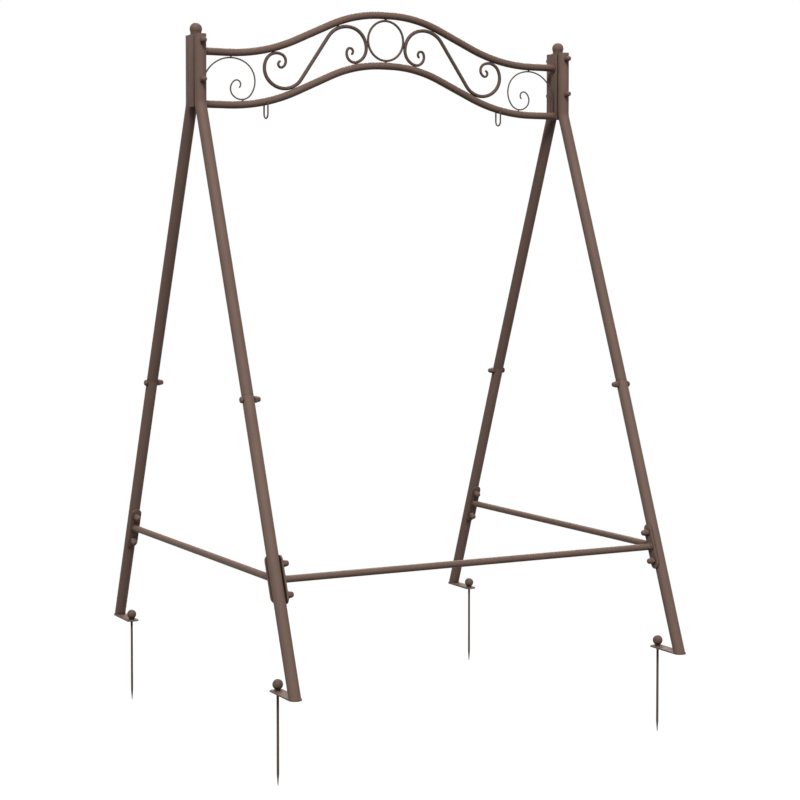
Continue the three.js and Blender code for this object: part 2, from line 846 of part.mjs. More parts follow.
// A domed hexagon screw that holds a brace plate
function plateScrew() {
  const radius = plateScrewDiameter / 2;
  const reach = bracePlateThickness + 2 * touchGap + plateScrewReach;
  return skin([boltRing(radius, -reach), boltRing(radius, 0), ...capNutRings(plateNutScale)]);
}

// Assembly

const group = new THREE.Group();

function add(parent, name, geometry) {
  const material = new THREE.MeshStandardMaterial({ color: 0x84716a, roughness: 0.5, metalness: 0.35 });
  const mesh = new THREE.Mesh(geometry, material);
  mesh.name = name;
  parent.add(mesh);
  return mesh;
}

// Turns a piece so that its +Z faces one way and its +Y runs another, and moves it to a point
function setOn(mesh, point, facing, along) {
  const across = new THREE.Vector3().crossVectors(along, facing);
  mesh.quaternion.setFromRotationMatrix(new THREE.Matrix4().makeBasis(across, along, facing));
  mesh.position.copy(point);
}

// A brace plate on the lower leg and its two screws, in a leg's own frame
function addPlate(leg, name, facing) {
  const plate = add(leg, `${name}_plate`, bracePlate());
  const centre = plateCentre(facing, bracePlateLift);
  setOn(plate, centre, facing, legAxis);
  screwOffsets.forEach((offset, i) => {
    const screw = add(leg, `${name}_screw_${i === 0 ? 'upper' : 'lower'}`, plateScrew());
    const seat = centre.clone().addScaledVector(legAxis, offset);
    setOn(screw, seat.addScaledVector(facing, bracePlateThickness + touchGap), facing, legAxis);
  });
}

// One leg of an end, from post to foot: `end` is -1 at the left and 1 at the right
function addLeg(parent, place, isFront, end) {
  const leg = new THREE.Group();
  leg.rotation.z = isFront ? Math.PI : 0;
  parent.add(leg);
  const inward = xAxis.clone().multiplyScalar(isFront ? end : -end);
  add(leg, `upper_leg_${place}`, upperLeg());
  add(leg, `lower_leg_${place}`, lowerLeg(isFront ? inward.x : 0));
  add(leg, `foot_plate_${place}`, footPlate());
  const stakeMesh = add(leg, `ground_stake_${place}`, stake());
  stakeMesh.position.y = stakeSpread;
  const bolt = add(leg, `joint_bolt_${place}`, throughBolt(legDiameter + 2 * touchGap));
  const boltPoint = placeOf(jointPoint, planeYZ).addScaledVector(inward, legRadius + touchGap);
  setOn(bolt, boltPoint, inward, zAxis);
  addPlate(leg, `side_brace_${place}`, legInward);
  if (isFront) addPlate(leg, `front_brace_${place}`, inward);
}

function addEnd(name, end) {
  const frame = new THREE.Group();
  frame.position.x = (end * frameSpacing) / 2;
  group.add(frame);
  add(frame, `header_post_${name}`, headerPost());
  add(frame, `finial_${name}`, finial()).position.z = postTop;
  addLeg(frame, `front_${name}`, true, end);
  addLeg(frame, `back_${name}`, false, end);
  add(frame, `side_bar_${name}`, sideBar());
  const reach = legOffset + legRadius + touchGap;
  for (const [level, drop] of Object.entries(postBoltDrops)) {
    const bolt = add(frame, `post_bolt_${level}_${name}`, throughBolt(2 * reach));
    setOn(bolt, new THREE.Vector3(0, -reach, postTop - drop), yAxis.clone().negate(), zAxis);
  }
}

function addHeader() {
  const header = new THREE.Group();
  header.position.z = upperTubeHeight;
  group.add(header);
  add(header, 'header_tube_upper', headerTube());
  add(header, 'header_tube_lower', headerTube()).position.z = -headerDrop;
  add(header, 'centre_ring', centreRing());
  add(header, 'scroll_left', scroll());
  add(header, 'scroll_right', mirroredX(scroll()));
  add(header, 'corner_scroll_left', cornerScroll());
  add(header, 'corner_scroll_right', mirroredX(cornerScroll()));
  const hookHeight = heightAt(lowerPath, -hookSpacing / 2);
  for (const [name, end] of [['left', -1], ['right', 1]]) {
    const hook = add(header, `swing_hook_${name}`, swingHook());
    hook.position.set((end * hookSpacing) / 2, 0, hookHeight);
  }
}

addEnd('left', -1);
addEnd('right', 1);
addHeader();
add(group, 'front_bar', frontBar());

export default group;
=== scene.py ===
"""Finishes a steel swing stand: round smooth surfaces, welds and a fine-grained brown coat.

Metres, in the stand's own frame: +X along the header, +Y to the back, +Z up, ground at zero.
"""

import math

import bpy
import numpy as np
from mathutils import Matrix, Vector
from mathutils.geometry import tessellate_polygon


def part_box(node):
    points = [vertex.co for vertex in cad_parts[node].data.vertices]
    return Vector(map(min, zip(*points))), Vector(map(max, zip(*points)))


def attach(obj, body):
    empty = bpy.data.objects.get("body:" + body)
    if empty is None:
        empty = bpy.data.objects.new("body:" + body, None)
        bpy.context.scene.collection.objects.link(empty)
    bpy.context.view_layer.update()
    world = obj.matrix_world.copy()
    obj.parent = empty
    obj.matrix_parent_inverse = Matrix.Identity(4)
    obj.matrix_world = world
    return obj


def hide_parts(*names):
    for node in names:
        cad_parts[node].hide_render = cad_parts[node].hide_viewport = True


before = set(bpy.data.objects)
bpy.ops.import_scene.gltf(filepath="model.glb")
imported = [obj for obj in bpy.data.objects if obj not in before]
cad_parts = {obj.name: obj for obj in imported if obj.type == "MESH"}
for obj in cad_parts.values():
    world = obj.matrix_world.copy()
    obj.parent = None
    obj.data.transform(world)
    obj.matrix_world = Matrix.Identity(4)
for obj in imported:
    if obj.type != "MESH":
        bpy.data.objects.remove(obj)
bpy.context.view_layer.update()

# Camera, fitted to the photograph's view
CAMERA_PLACE = (-3.11302, -5.94146, 1.35302)
CAMERA_YAW = 0.4899
CAMERA_PITCH = -0.0403
CAMERA_LENS = 88.08
CAMERA_SENSOR = 36.0
CAMERA_SHIFT_Y = -0.10

# Clearances
TOUCH_GAP = 0.0003
SLIP_GAP = 0.0004

# End frames
FRAME_SPACING = 1.390
POST_TOP = 2.022
TUBE_WALL = 0.0015
LEG_RADIUS = 0.019
BEND_DROP = 0.224
BEND_RADIUS = 0.070
JOINT_HEIGHT = 0.8647
JOINT_SPREAD = 0.4128
FOOT_SPREAD = 0.7495
SEAM_RISE = 0.0129
SPIGOT_LENGTH = 0.050
SPIGOT_NECK = 0.004
POST_WIDTH = 0.038
POST_CORNER = 0.003
POST_TAIL = 0.0113
TUBE_EDGE = 0.0006
SEAM_EDGE = 0.0002

# Finials
FINIAL_RADIUS = 0.02025
FINIAL_RISE = 0.0186
FINIAL_BASE_RADIUS = 0.018
FINIAL_EDGE = 0.0008

# Header
HEADER_RADIUS = 0.0125
UPPER_TUBE_DROP = 0.0518
HEADER_DROP = 0.1713
HEADER_END_FLAT = 0.093
RISE_ANGLE = math.radians(24)
RISE_LENGTH = 0.140
CROWN_RADIUS = 0.471
CROWN_FLAT = 0.032
COLLAR_RADIUS = 0.0155
COLLAR_LENGTH = 0.005
COLLAR_EDGE = 0.0008

# Centre ring
RING_WIRE_RADIUS = 0.004
RING_WELD_GAP = 0.00165

# Scrolls, as headings in degrees and runs in shares of their size
SCROLL_RADIUS = 0.0063
SCROLL_TIP_RADIUS = 0.0042
SCROLL_TAPER = 0.220
SCROLL_WELD_RADIUS = 0.004
SCROLL_HEADING = 55.6
SCROLL_OUTER_SHARES = (
    (0.509, None),
    (0.4413, -103.5),
    (0.3538, -66.7),
    (0.2539, -92.1),
    (0.136, -123.3),
    (0.0613, -180),
)
SCROLL_INNER_SHARES = (
    (0.5248, None),
    (0.4997, -67),
    (0.404, -80.8),
    (0.2896, -74.1),
    (0.171, -127.2),
    (0.0654, -203.3),
)
CORNER_WIRE_RADIUS = 0.0025
CORNER_WELD_RADIUS = 0.0025
CORNER_SHARES = (
    (0.2148, None),
    (0.5919, -115.3),
    (0.4174, -104.4),
    (0.2423, -93.3),
    (0.1856, -103.8),
    (0.0811, -167.8),
)
CORNER_FOOT_SHARE = 1 / 3  # of its stations, where it stands on the lower tube

# Hooks for the seat's chains
HOOK_SPACING = 0.894
HOOK_WIRE_RADIUS = 0.00275
HOOK_DROP = 0.0556

# Braces
BRACE_HEIGHT = 0.3372
BRACE_RADIUS = 0.011
BRACE_COLLAR_RADIUS = 0.014
BRACE_COLLAR_LENGTH = 0.005
PLATE_LENGTH = 0.150
PLATE_WIDTH = 0.037
PLATE_THICKNESS = 0.005
PLATE_EDGE = 0.0008
PLATE_SCREW_SPACING = 0.096

# Feet and stakes
FOOT_WIDTH = 0.042
FOOT_THICKNESS = 0.005
FOOT_REACH = 0.1435
FOOT_CORNER = 0.008
FOOT_EDGE = 0.0008
STAKE_INSET = 0.1225
STAKE_RADIUS = 0.004
STAKE_DEPTH = 0.284
STAKE_POINT = 0.036
STAKE_TIP_RADIUS = 0.001
STAKE_TIP_ARC = (-80, -10)
STAKE_BALL_RADIUS = 0.01635
STAKE_BALL_HEIGHT = 0.0233
STAKE_COLLAR_RADIUS = 0.009
STAKE_COLLAR_EDGE = 0.0008

# Bolts
BOLT_RADIUS = 0.006
HEAD_RADIUS = 0.0105
HEAD_HEIGHT = 0.009
NUT_FLATS = 0.019
NUT_HEX_HEIGHT = 0.010
NUT_HEIGHT = 0.022
NUT_DOME_RADIUS = 0.009
NUT_CHAMFER = 0.0011
NUT_EDGE = 0.0003
NUT_FACE_SHARE = 0.97
NUT_CORNER_SHARES = (0.9, 0.97, 0.985)
HEAD_EDGE = 0.0008
DOME_BLUNTNESS = 0.7
POST_BOLT_DROPS = {"top": 0.022, "bottom": 0.147}
SCREW_RADIUS = 0.005
SCREW_REACH = 0.009
SCREW_NUT_SCALE = 1.1

# Welds, with shares of length and radius from one end to the other
FOOT_WELD = 0.0007
WELD_INSET = 0.001
WELD_RIPPLE = 0.12
WELD_PITCH = 0.0032
HOOK_WELD_RADIUS = 0.0036
HOOK_WELD_SPAN = (-0.012, -0.003)
WAISTED_SHARES = (
    (0, 0.6),
    (0.02, 1.35),
    (0.12, 1.3),
    (0.3, 1.08),
    (0.5, 1),
    (0.7, 1.08),
    (0.88, 1.3),
    (0.98, 1.35),
    (1, 0.6),
)
SWOLLEN_SHARES = ((0, 0), (0.15, 0.7), (0.35, 0.95), (0.5, 1), (0.65, 0.95), (0.85, 0.7), (1, 0))

# How finely round shapes are cut, and in how many rounds the scrolls are seated
FINE_CHORD = 0.00004
FINE_STEP = 5.0
SOLID_CHORD = 0.0006  # as the solids of the frame are cut
SOLID_STEP = 30.0
SOLID_SIDES = 8
TUBE_SIDES = 48
WIRE_SIDES = 20
BALL_SIDES = 48
BOLT_SIDES = 48
WELD_SIDES = 10
HOLE_SIDES = 32
HEXAGON_SIDES = 6
TIP_STEPS = 6
EDGE_STEPS = 3
POST_CORNER_STEPS = 6
TURNED_EDGE_STEPS = 4
BALL_STEPS = 30
DOME_STEPS = 10
BRACE_PLATE_STEPS = 24
FOOT_PLATE_STEPS = 36
FOOT_WELD_POINTS = 120
SCROLL_ROUNDS = 40
CORNER_ROUNDS = 20
CREASE = math.radians(38)

# Coats: colour, roughness, strength of the grain and brightness of the specks.
# A noise has its scale, detail and roughness, and a band is where one colour turns into the next.
COAT_LOOKS = {
    "frame_coat": ((0.205, 0.134, 0.107), 0.50, 0.22, 0.9),
    "ironwork_coat": ((0.160, 0.108, 0.089), 0.48, 0.22, 0.9),
    "fastener_coat": ((0.190, 0.125, 0.100), 0.42, 0.12, 0.94),
    "stake_coat": ((0.165, 0.112, 0.090), 0.48, 0.05, 0.96),
}
COAT_METALLIC = 0.0
COAT_SPECULAR = 0.08
ROUGHNESS_SWING = 0.05
MOTTLE_NOISE = (9.0, 4.0, 0.6)
MOTTLE_DEPTH = 0.9
MOTTLE_BAND = (0.32, 0.68)
SPECK_NOISE = (420.0, 2.0, 0.7)
SPECK_BAND = (0.36, 0.62)
GRAIN_NOISE = (900.0, 3.0, 0.65)
GRAIN_HEIGHT = 0.0002
PEEL_NOISE = (160.0, 2.0, 0.5)
PEEL_HEIGHT = 0.0003
PEEL_STRENGTH = 0.12
PEEL_BAND = (0.3, 0.7)
# Painted shade: how far, how finely and how deeply ambient occlusion darkens the coat's colour in creases and
# gaps between parts
CREASE_SHADE_REACH = 0.013
CREASE_SHADE_SAMPLES = 8
CREASE_SHADE_DEPTH = 0.34
CREASE_SHADE_BAND = (0.25, 0.85)

# Floor and light
FLOOR_SIZE = 60.0
FLOOR_HEIGHT = -0.2845
FLOOR_COLOUR = (0.12, 0.12, 0.12, 1)
FLOOR_ROUGHNESS = 0.9
FLOOR_GLOW = 0.925
FLOOR_FADE = (1.2, 3.2)  # how far out it turns from shaded to plain white
WHITE = (1, 1, 1, 1)
SKY_LOW = (0, 0, 0, 1)
SKY_STRENGTH = 0.15
SKY_BAND = (0.47, 0.55)
LAMP_AIM = 1.0  # the height that the lamps point at
# Each lamp's azimuth and elevation in degrees, distance, size and power
LAMPS = {
    "key": (-28, 50, 20.0, 6.0, 3100),
    "left_fill": (-80, 35, 12.0, 5.0, 210),
    "right_fill": (35, 40, 12.0, 5.0, 200),
    "back_fill": (145, 40, 12.0, 5.0, 900),
}

# Worked out from the sizes above
LEG_OFFSET = POST_WIDTH / 2 + TOUCH_GAP + LEG_RADIUS
UPPER_TUBE_HEIGHT = POST_TOP - UPPER_TUBE_DROP
LOWER_TUBE_HEIGHT = UPPER_TUBE_HEIGHT - HEADER_DROP
POST_BOTTOM = LOWER_TUBE_HEIGHT - POST_TAIL
HEADER_HALF_SPAN = FRAME_SPACING / 2 - POST_WIDTH / 2 - TOUCH_GAP
PLATE_LIFT = LEG_RADIUS + TOUCH_GAP
RING_RADIUS = HEADER_DROP / 2 - HEADER_RADIUS - RING_WELD_GAP - RING_WIRE_RADIUS
SCREW_OFFSETS = {"upper": -PLATE_SCREW_SPACING / 2, "lower": PLATE_SCREW_SPACING / 2}

X_AXIS = np.array((1.0, 0.0, 0.0))
Y_AXIS = np.array((0.0, 1.0, 0.0))
Z_AXIS = np.array((0.0, 0.0, 1.0))
PLANE_XZ = (X_AXIS, Z_AXIS, -Y_AXIS)
PLANE_YZ = (Y_AXIS, Z_AXIS, X_AXIS)
ENDS = {"left": -1, "right": 1}
QUARTER = math.pi / 2
QUARTER_TURN = 90
HALF_TURN = 180
FULL_TURN = 360


# Paths in a plane: stations of (u, v, heading, length travelled)


def ahead(station, distance):
    u, v, heading, travel = station
    return (u + distance * math.cos(heading), v + distance * math.sin(heading), heading, travel + distance)


def trace(start, heading, runs, chord=FINE_CHORD, widest=FINE_STEP):
    """Follows runs of (length, None) or (radius, turn in degrees). A left turn is positive."""
    stations = [(start[0], start[1], heading, 0.0)]
    for size, turn in runs:
        u, v, facing, travel = stations[-1]
        if turn is None:
            stations.append(ahead(stations[-1], size))
            continue
        side = math.copysign(size, turn)
        centre = (u - side * math.sin(facing), v + side * math.cos(facing))
        chord_step = 2 * math.degrees(math.acos(1 - chord / size))
        steps = math.ceil(abs(turn) / min(chord_step, widest))
        for i in range(1, steps + 1):
            turned = math.radians(turn * i / steps)
            angle = facing + turned
            stations.append((
                centre[0] + side * math.sin(angle),
                centre[1] - side * math.cos(angle),
                angle,
                travel + size * abs(turned),
            ))
    return stations


def reversed_path(stations):
    total = stations[-1][3]
    return [(u, v, heading + math.pi, total - travel) for u, v, heading, travel in reversed(stations)]


def joined_path(one, other):
    offset = one[-1][3]
    return reversed_path(one) + [(u, v, heading, travel + offset) for u, v, heading, travel in other[1:]]


def place_of(station, plane):
    return plane[0] * station[0] + plane[1] * station[1]


def direction_of(heading, plane):
    return plane[0] * math.cos(heading) + plane[1] * math.sin(heading)


def height_at(path, u):
    us = [station[0] for station in path]
    vs = [station[1] for station in path]
    return float(np.interp(u, us, vs))


def closest(path, target):
    """The closest places of two paths: the first path's station, and the point on the second."""
    ends = np.array([station[:2] for station in target])
    start, along = ends[:-1], ends[1:] - ends[:-1]
    best = (math.inf, None, None)
    for station in path:
        offset = np.array(station[:2]) - start
        share = np.clip((offset * along).sum(1) / (along * along).sum(1), 0, 1)
        points = start + along * share[:, None]
        distances = np.hypot(*(points - np.array(station[:2])).T)
        i = int(distances.argmin())
        if distances[i] < best[0]:
            best = (distances[i], station, tuple(points[i]))
    return best


# Shapes: arrays of points with lists of faces


def ring_at(station, radius, sides, plane):
    centre = place_of(station, plane)
    across = direction_of(station[2] + QUARTER, plane)
    angles = np.arange(sides) * (2 * math.pi / sides)
    return centre + radius * (np.outer(np.cos(angles), across) + np.outer(np.sin(angles), plane[2]))


def skin(rings, goes_round=False):
    """Joins rings with equal numbers of points. One that goes round joins its last ring to its first."""
    count = len(rings[0])
    bands = len(rings) if goes_round else len(rings) - 1
    faces = []
    for band in range(bands):
        here, there = band * count, (band + 1) % len(rings) * count
        for side in range(count):
            following = (side + 1) % count
            faces.append((here + side, here + following, there + following, there + side))
    if not goes_round:
        last = bands * count
        faces.append(tuple(range(count - 1, -1, -1)))
        faces.append(tuple(range(last, last + count)))
    return np.concatenate(rings), faces


def together(*shapes):
    points, faces, offset = [], [], 0
    for shape_points, shape_faces in shapes:
        points.append(shape_points)
        faces += [tuple(i + offset for i in face) for face in shape_faces]
        offset += len(shape_points)
    return np.concatenate(points), faces


def moved(shape, place):
    return shape[0] + np.array(place), shape[1]


def set_on(shape, point, facing, along):
    """Turns a shape so that its +Z faces one way and its +Y runs another, and moves it to a point."""
    across = np.cross(along, facing)
    return shape[0] @ np.array((across, along, facing)) + point, shape[1]


def mirrored(shape):
    return shape[0] * (-1, 1, 1), [face[::-1] for face in shape[1]]


def turned_round(shape):
    """Turns a shape by half a turn about Z."""
    return shape[0] * (-1, -1, 1), shape[1]


def lathe(outline, sides):
    """A turned body about +Z from points of radius and height, going up. Its ends may lie on the axis."""
    first_pole, last_pole = outline[0][0] == 0, outline[-1][0] == 0
    inner = outline[1 if first_pole else 0:-1 if last_pole else None]
    angles = np.arange(sides) * (2 * math.pi / sides)
    unit = np.stack((np.cos(angles), np.sin(angles), np.zeros(sides)), 1)
    points, faces = skin([unit * radius + Z_AXIS * height for radius, height in inner])
    if first_pole:
        points = np.concatenate((points, [Z_AXIS * outline[0][1]]))
        faces.remove(tuple(range(sides - 1, -1, -1)))
        pole = len(points) - 1
        faces += [(pole, (i + 1) % sides, i) for i in range(sides)]
    if last_pole:
        last = (len(inner) - 1) * sides
        faces.remove(tuple(range(last, last + sides)))
        points = np.concatenate((points, [Z_AXIS * outline[-1][1]]))
        pole = len(points) - 1
        faces += [(pole, last + i, last + (i + 1) % sides) for i in range(sides)]
    return points, faces


def arc(centre, radius, start, end, steps):
    """Points of radius and height on an arc, with angles in degrees from straight out."""
    angles = np.radians(np.linspace(start, end, steps + 1))
    return [(centre[0] + radius * math.cos(a), centre[1] + radius * math.sin(a)) for a in angles]


def turned_edge(radius, bottom, edge):
    """Points on the rounded lower edge of a turned body."""
    return arc((radius - edge, bottom + edge), edge, -QUARTER_TURN, 0, TURNED_EDGE_STEPS)


def round_tip(station, radius, sides, plane, backward=False):
    """Rings that close the end of a rod with a dome, going out from the station."""
    rings = []
    for i in range(1, TIP_STEPS):
        angle = QUARTER * i / TIP_STEPS
        reach = radius * math.sin(angle) * (-1 if backward else 1)
        rings.append(ring_at(ahead(station, reach), radius * math.cos(angle), sides, plane))
    return rings[::-1] if backward else rings


def rod(path, radius_at, sides, plane):
    """A rod along a path with rounded ends."""
    first, last = path[0], path[-1]
    rings = [ring_at(station, radius_at(station), sides, plane) for station in path]
    return skin([
        *round_tip(first, radius_at(first), sides, plane, backward=True),
        *rings,
        *round_tip(last, radius_at(last), sides, plane),
    ])


def rounded(radius, edge=TUBE_EDGE):
    """Depth below the end face and radius of the rings that round over the end of a rod."""
    angles = [QUARTER * i / EDGE_STEPS for i in range(EDGE_STEPS + 1)]
    return [(edge * (1 - math.cos(a)), radius - edge * (1 - math.sin(a))) for a in angles]


def plate(outline, holes, thickness, edge):
    """A flat plate from height zero up, with its edges rounded over. Outlines run to the left."""

    def inset(loop, distance):
        before, after = np.roll(loop, 1, 0), np.roll(loop, -1, 0)
        into = loop - before
        out = after - loop
        into /= np.hypot(*into.T)[:, None]
        out /= np.hypot(*out.T)[:, None]
        normal = np.stack((-(into + out)[:, 1], (into + out)[:, 0]), 1)
        length = (normal * normal).sum(1, keepdims=True)
        return loop + normal * (2 * distance / length)

    levels = [(-size, height) for height, size in rounded(0, edge)]
    levels += [(distance, thickness - height) for distance, height in reversed(levels)]
    points, faces, rims = [], [], []
    offset = 0
    for loop in [outline, *holes]:
        loop = np.array(loop)
        rings = []
        for distance, height in levels:
            flat = inset(loop, distance)
            rings.append(np.column_stack((flat, np.full(len(flat), height))))
        count = len(loop)
        for band in range(len(rings) - 1):
            here = offset + band * count
            for side in range(count):
                following = (side + 1) % count
                faces.append((here + side, here + following, here + count + following, here + count + side))
        points.append(np.concatenate(rings))
        rims.append((rings[0], offset, rings[-1], offset + (len(rings) - 1) * count))
        offset += len(rings) * count
    for top in (False, True):
        loops = [rim[2] if top else rim[0] for rim in rims]
        index = []
        for rim, loop in zip(rims, loops):
            start = rim[3 if top else 1]
            index += range(start, start + len(loop))
        triangles = tessellate_polygon([[Vector(point) for point in loop] for loop in loops])
        flat_points = np.concatenate(loops)
        for triangle in triangles:
            a, b, c = (flat_points[i] for i in triangle)
            upward = np.cross(b - a, c - a)[2] > 0
            corners = tuple(index[i] for i in triangle)
            faces.append(corners if upward == top else corners[::-1])
    return np.concatenate(points), faces


def bead(points, inward, radius):
    """A rippled weld round a closed loop of points. `inward` gives a direction across it at each point."""
    steps = np.hypot.reduce(np.roll(points, -1, 0) - points, 1)
    travel = np.concatenate(([0], np.cumsum(steps)))
    ripples = round(travel[-1] / WELD_PITCH)
    angles = np.arange(WELD_SIDES) * (2 * math.pi / WELD_SIDES)
    along = np.roll(points, -1, 0) - np.roll(points, 1, 0)
    along /= np.linalg.norm(along, axis=1)[:, None]
    rings = []
    for i, point in enumerate(points):
        phase = travel[i] / travel[-1] * ripples
        size = radius * (1 + WELD_RIPPLE * (abs(math.sin(phase * math.pi)) - 0.5))
        across = np.array(inward[i])
        up = np.cross(along[i], across)
        up /= np.linalg.norm(up)
        across = np.cross(up, along[i])
        rings.append(point + size * (np.outer(np.cos(angles), across) + np.outer(np.sin(angles), up)))
    return skin(rings, goes_round=True)


def weld_spot(start, end, radius):
    """A waisted spot of weld between two rods, from inside one to inside the other."""
    axis = np.array(end) - np.array(start)
    length = float(np.linalg.norm(axis))
    body = lathe([(radius * wide, length * share) for share, wide in WAISTED_SHARES], WIRE_SIDES)
    return set_on(body, start, axis / length, Y_AXIS)


# Materials


def node(tree, kind, **inputs):
    made = tree.nodes.new(kind)
    for name, value in inputs.items():
        made.inputs[name].default_value = value
    return made


def noise(tree, place, scale, detail, roughness):
    made = node(tree, "ShaderNodeTexNoise", Scale=scale, Detail=detail, Roughness=roughness)
    tree.links.new(place, made.inputs["Vector"])
    return made.outputs["Fac"]


def coat(name, colour, roughness, grain, specks):
    """A satin powder coat: fine grain, faint mottling and painted shade that darkens its creases and the gaps
    between parts.
    """
    material = bpy.data.materials.new(name)
    material.use_nodes = True
    tree = material.node_tree
    link = tree.links.new
    shader = tree.nodes["Principled BSDF"]
    shader.inputs["Metallic"].default_value = COAT_METALLIC
    shader.inputs["Specular IOR Level"].default_value = COAT_SPECULAR
    place = tree.nodes.new("ShaderNodeTexCoord").outputs["Object"]

    looks = (MOTTLE_NOISE, SPECK_NOISE, GRAIN_NOISE, PEEL_NOISE)
    mottle, speck, fine, peel = (noise(tree, place, *look) for look in looks)

    darker = tuple(c * MOTTLE_DEPTH for c in colour)
    tone = ramp(tree, mottle, MOTTLE_BAND, (*darker, 1), (*colour, 1))
    spots = ramp(tree, speck, SPECK_BAND, grey(specks), WHITE)
    speckled = mixed(tree, "MULTIPLY", 1.0, tone, spots)

    # Painted shade: the base colour is darkened where ambient occlusion finds creases, recesses and gaps
    # between parts
    painted_crease_shade = node(tree, "ShaderNodeAmbientOcclusion", Distance=CREASE_SHADE_REACH)
    painted_crease_shade.samples = CREASE_SHADE_SAMPLES
    shade = ramp(tree, painted_crease_shade.outputs["AO"], CREASE_SHADE_BAND, grey(CREASE_SHADE_DEPTH), WHITE)
    crease_shaded = mixed(tree, "MULTIPLY", 1.0, speckled, shade)

    link(crease_shaded, shader.inputs["Base Color"])
    smoothest, roughest = grey(roughness - ROUGHNESS_SWING), grey(roughness + ROUGHNESS_SWING)
    rough = ramp(tree, peel, PEEL_BAND, smoothest, roughest)
    link(rough, shader.inputs["Roughness"])

    low = node(tree, "ShaderNodeBump", Strength=PEEL_STRENGTH, Distance=PEEL_HEIGHT)
    high = node(tree, "ShaderNodeBump", Strength=grain, Distance=GRAIN_HEIGHT)
    link(peel, low.inputs["Height"])
    link(fine, high.inputs["Height"])
    link(low.outputs["Normal"], high.inputs["Normal"])
    link(high.outputs["Normal"], shader.inputs["Normal"])
    return material


def grey(level):
    return (level, level, level, 1)


def ramp(tree, factor, band, *colours):
    """Goes from one colour to another over a band of the factor."""
    made = tree.nodes.new("ShaderNodeValToRGB")
    tree.links.new(factor, made.inputs["Fac"])
    for element, position, colour in zip(made.color_ramp.elements, band, colours):
        element.position = position
        element.color = colour
    return made.outputs["Color"]


def mixed(tree, blend, factor, a, b):
    made = tree.nodes.new("ShaderNodeMix")
    made.data_type = "RGBA"
    made.blend_type = blend
    made.inputs["Factor"].default_value = factor
    tree.links.new(a, made.inputs["A"])
    tree.links.new(b, made.inputs["B"])
    return made.outputs["Result"]


COATS = {name: coat(name, *look) for name, look in COAT_LOOKS.items()}


def piece(name, shape, slot, body="frame", node_name=None):
    """Makes an object of a shape, with its coat, on its body, in place of a node of the frame."""
    mesh = bpy.data.meshes.new(name)
    mesh.from_pydata(shape[0].tolist(), [], shape[1])
    mesh.update()
    mesh.shade_smooth()
    mesh.set_sharp_from_angle(angle=CREASE)
    mesh.materials.append(COATS[slot])
    made = bpy.data.objects.new(name, mesh)
    bpy.context.scene.collection.objects.link(made)
    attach(made, body)
    if node_name:
        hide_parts(node_name)
    return made


# Legs, drawn in the YZ plane and leaning out along +Y

LOWER_HEADING = -math.atan2(JOINT_HEIGHT, FOOT_SPREAD - JOINT_SPREAD)
SEAM = ahead((JOINT_SPREAD, JOINT_HEIGHT, LOWER_HEADING, 0.0), -SEAM_RISE)
BEND_CORNER = (LEG_OFFSET, POST_TOP - BEND_DROP)
UPPER_HEADING = -math.atan2(BEND_CORNER[1] - SEAM[1], SEAM[0] - BEND_CORNER[0])
LEG_AXIS = direction_of(LOWER_HEADING, PLANE_YZ)
LEG_INWARD = direction_of(LOWER_HEADING - QUARTER, PLANE_YZ)
BRACE_SPREAD = JOINT_SPREAD + (JOINT_HEIGHT - BRACE_HEIGHT) / JOINT_HEIGHT * (FOOT_SPREAD - JOINT_SPREAD)
BRACE_POINT = np.array((0.0, BRACE_SPREAD, BRACE_HEIGHT))
JOINT_POINT = np.array((0.0, JOINT_SPREAD, JOINT_HEIGHT))


def upper_leg():
    bend = UPPER_HEADING + QUARTER
    tangent = BEND_RADIUS * math.tan(bend / 2)
    slope = math.hypot(SEAM[0] - BEND_CORNER[0], SEAM[1] - BEND_CORNER[1])
    runs = [
        (BEND_DROP - tangent, None),
        (BEND_RADIUS, math.degrees(bend)),
        (slope - tangent - SPIGOT_NECK, None),
    ]
    body = trace((LEG_OFFSET, POST_TOP), -QUARTER, runs)
    seam = (SEAM[0], SEAM[1], body[-1][2], 0.0)
    spigot_end = ahead(SEAM, SPIGOT_LENGTH)
    spigot = LEG_RADIUS - TUBE_WALL - TOUCH_GAP

    def ring(station, radius):
        return ring_at(station, radius, TUBE_SIDES, PLANE_YZ)

    top = [ring(ahead(body[0], depth), radius) for depth, radius in rounded(LEG_RADIUS)]
    bottom = [ring(ahead(seam, -depth), radius) for depth, radius in reversed(rounded(LEG_RADIUS, SEAM_EDGE))]
    inner = [
        ring(spigot_end, spigot - TUBE_WALL),
        ring(SEAM, spigot - TUBE_WALL),
        *[ring(station, LEG_RADIUS - TUBE_WALL) for station in body[:0:-1]],
        ring(ahead(body[0], TUBE_WALL), LEG_RADIUS - TUBE_WALL),
    ]
    outer = [*top, *[ring(station, LEG_RADIUS) for station in body[1:]], *bottom]
    return skin([*outer, ring(SEAM, spigot), ring(spigot_end, spigot), *inner])


def slid_to_floor(ring, direction, height):
    return ring + np.outer((height - ring[:, 2]) / direction[2], direction)


def lower_leg():
    top = ahead(SEAM, TOUCH_GAP)
    foot = ahead(top, math.hypot(FOOT_SPREAD - top[0], top[1]))
    floor = FOOT_THICKNESS + TOUCH_GAP

    def ring(station, radius):
        return ring_at(station, radius, TUBE_SIDES, PLANE_YZ)

    outer = [ring(ahead(top, depth), radius) for depth, radius in rounded(LEG_RADIUS, SEAM_EDGE)]
    outer.append(slid_to_floor(ring(foot, LEG_RADIUS), LEG_AXIS, floor))
    bore = LEG_RADIUS - TUBE_WALL
    inner = [slid_to_floor(ring(foot, bore), LEG_AXIS, floor), ring(top, bore)]
    return skin([*outer, *inner], goes_round=True)


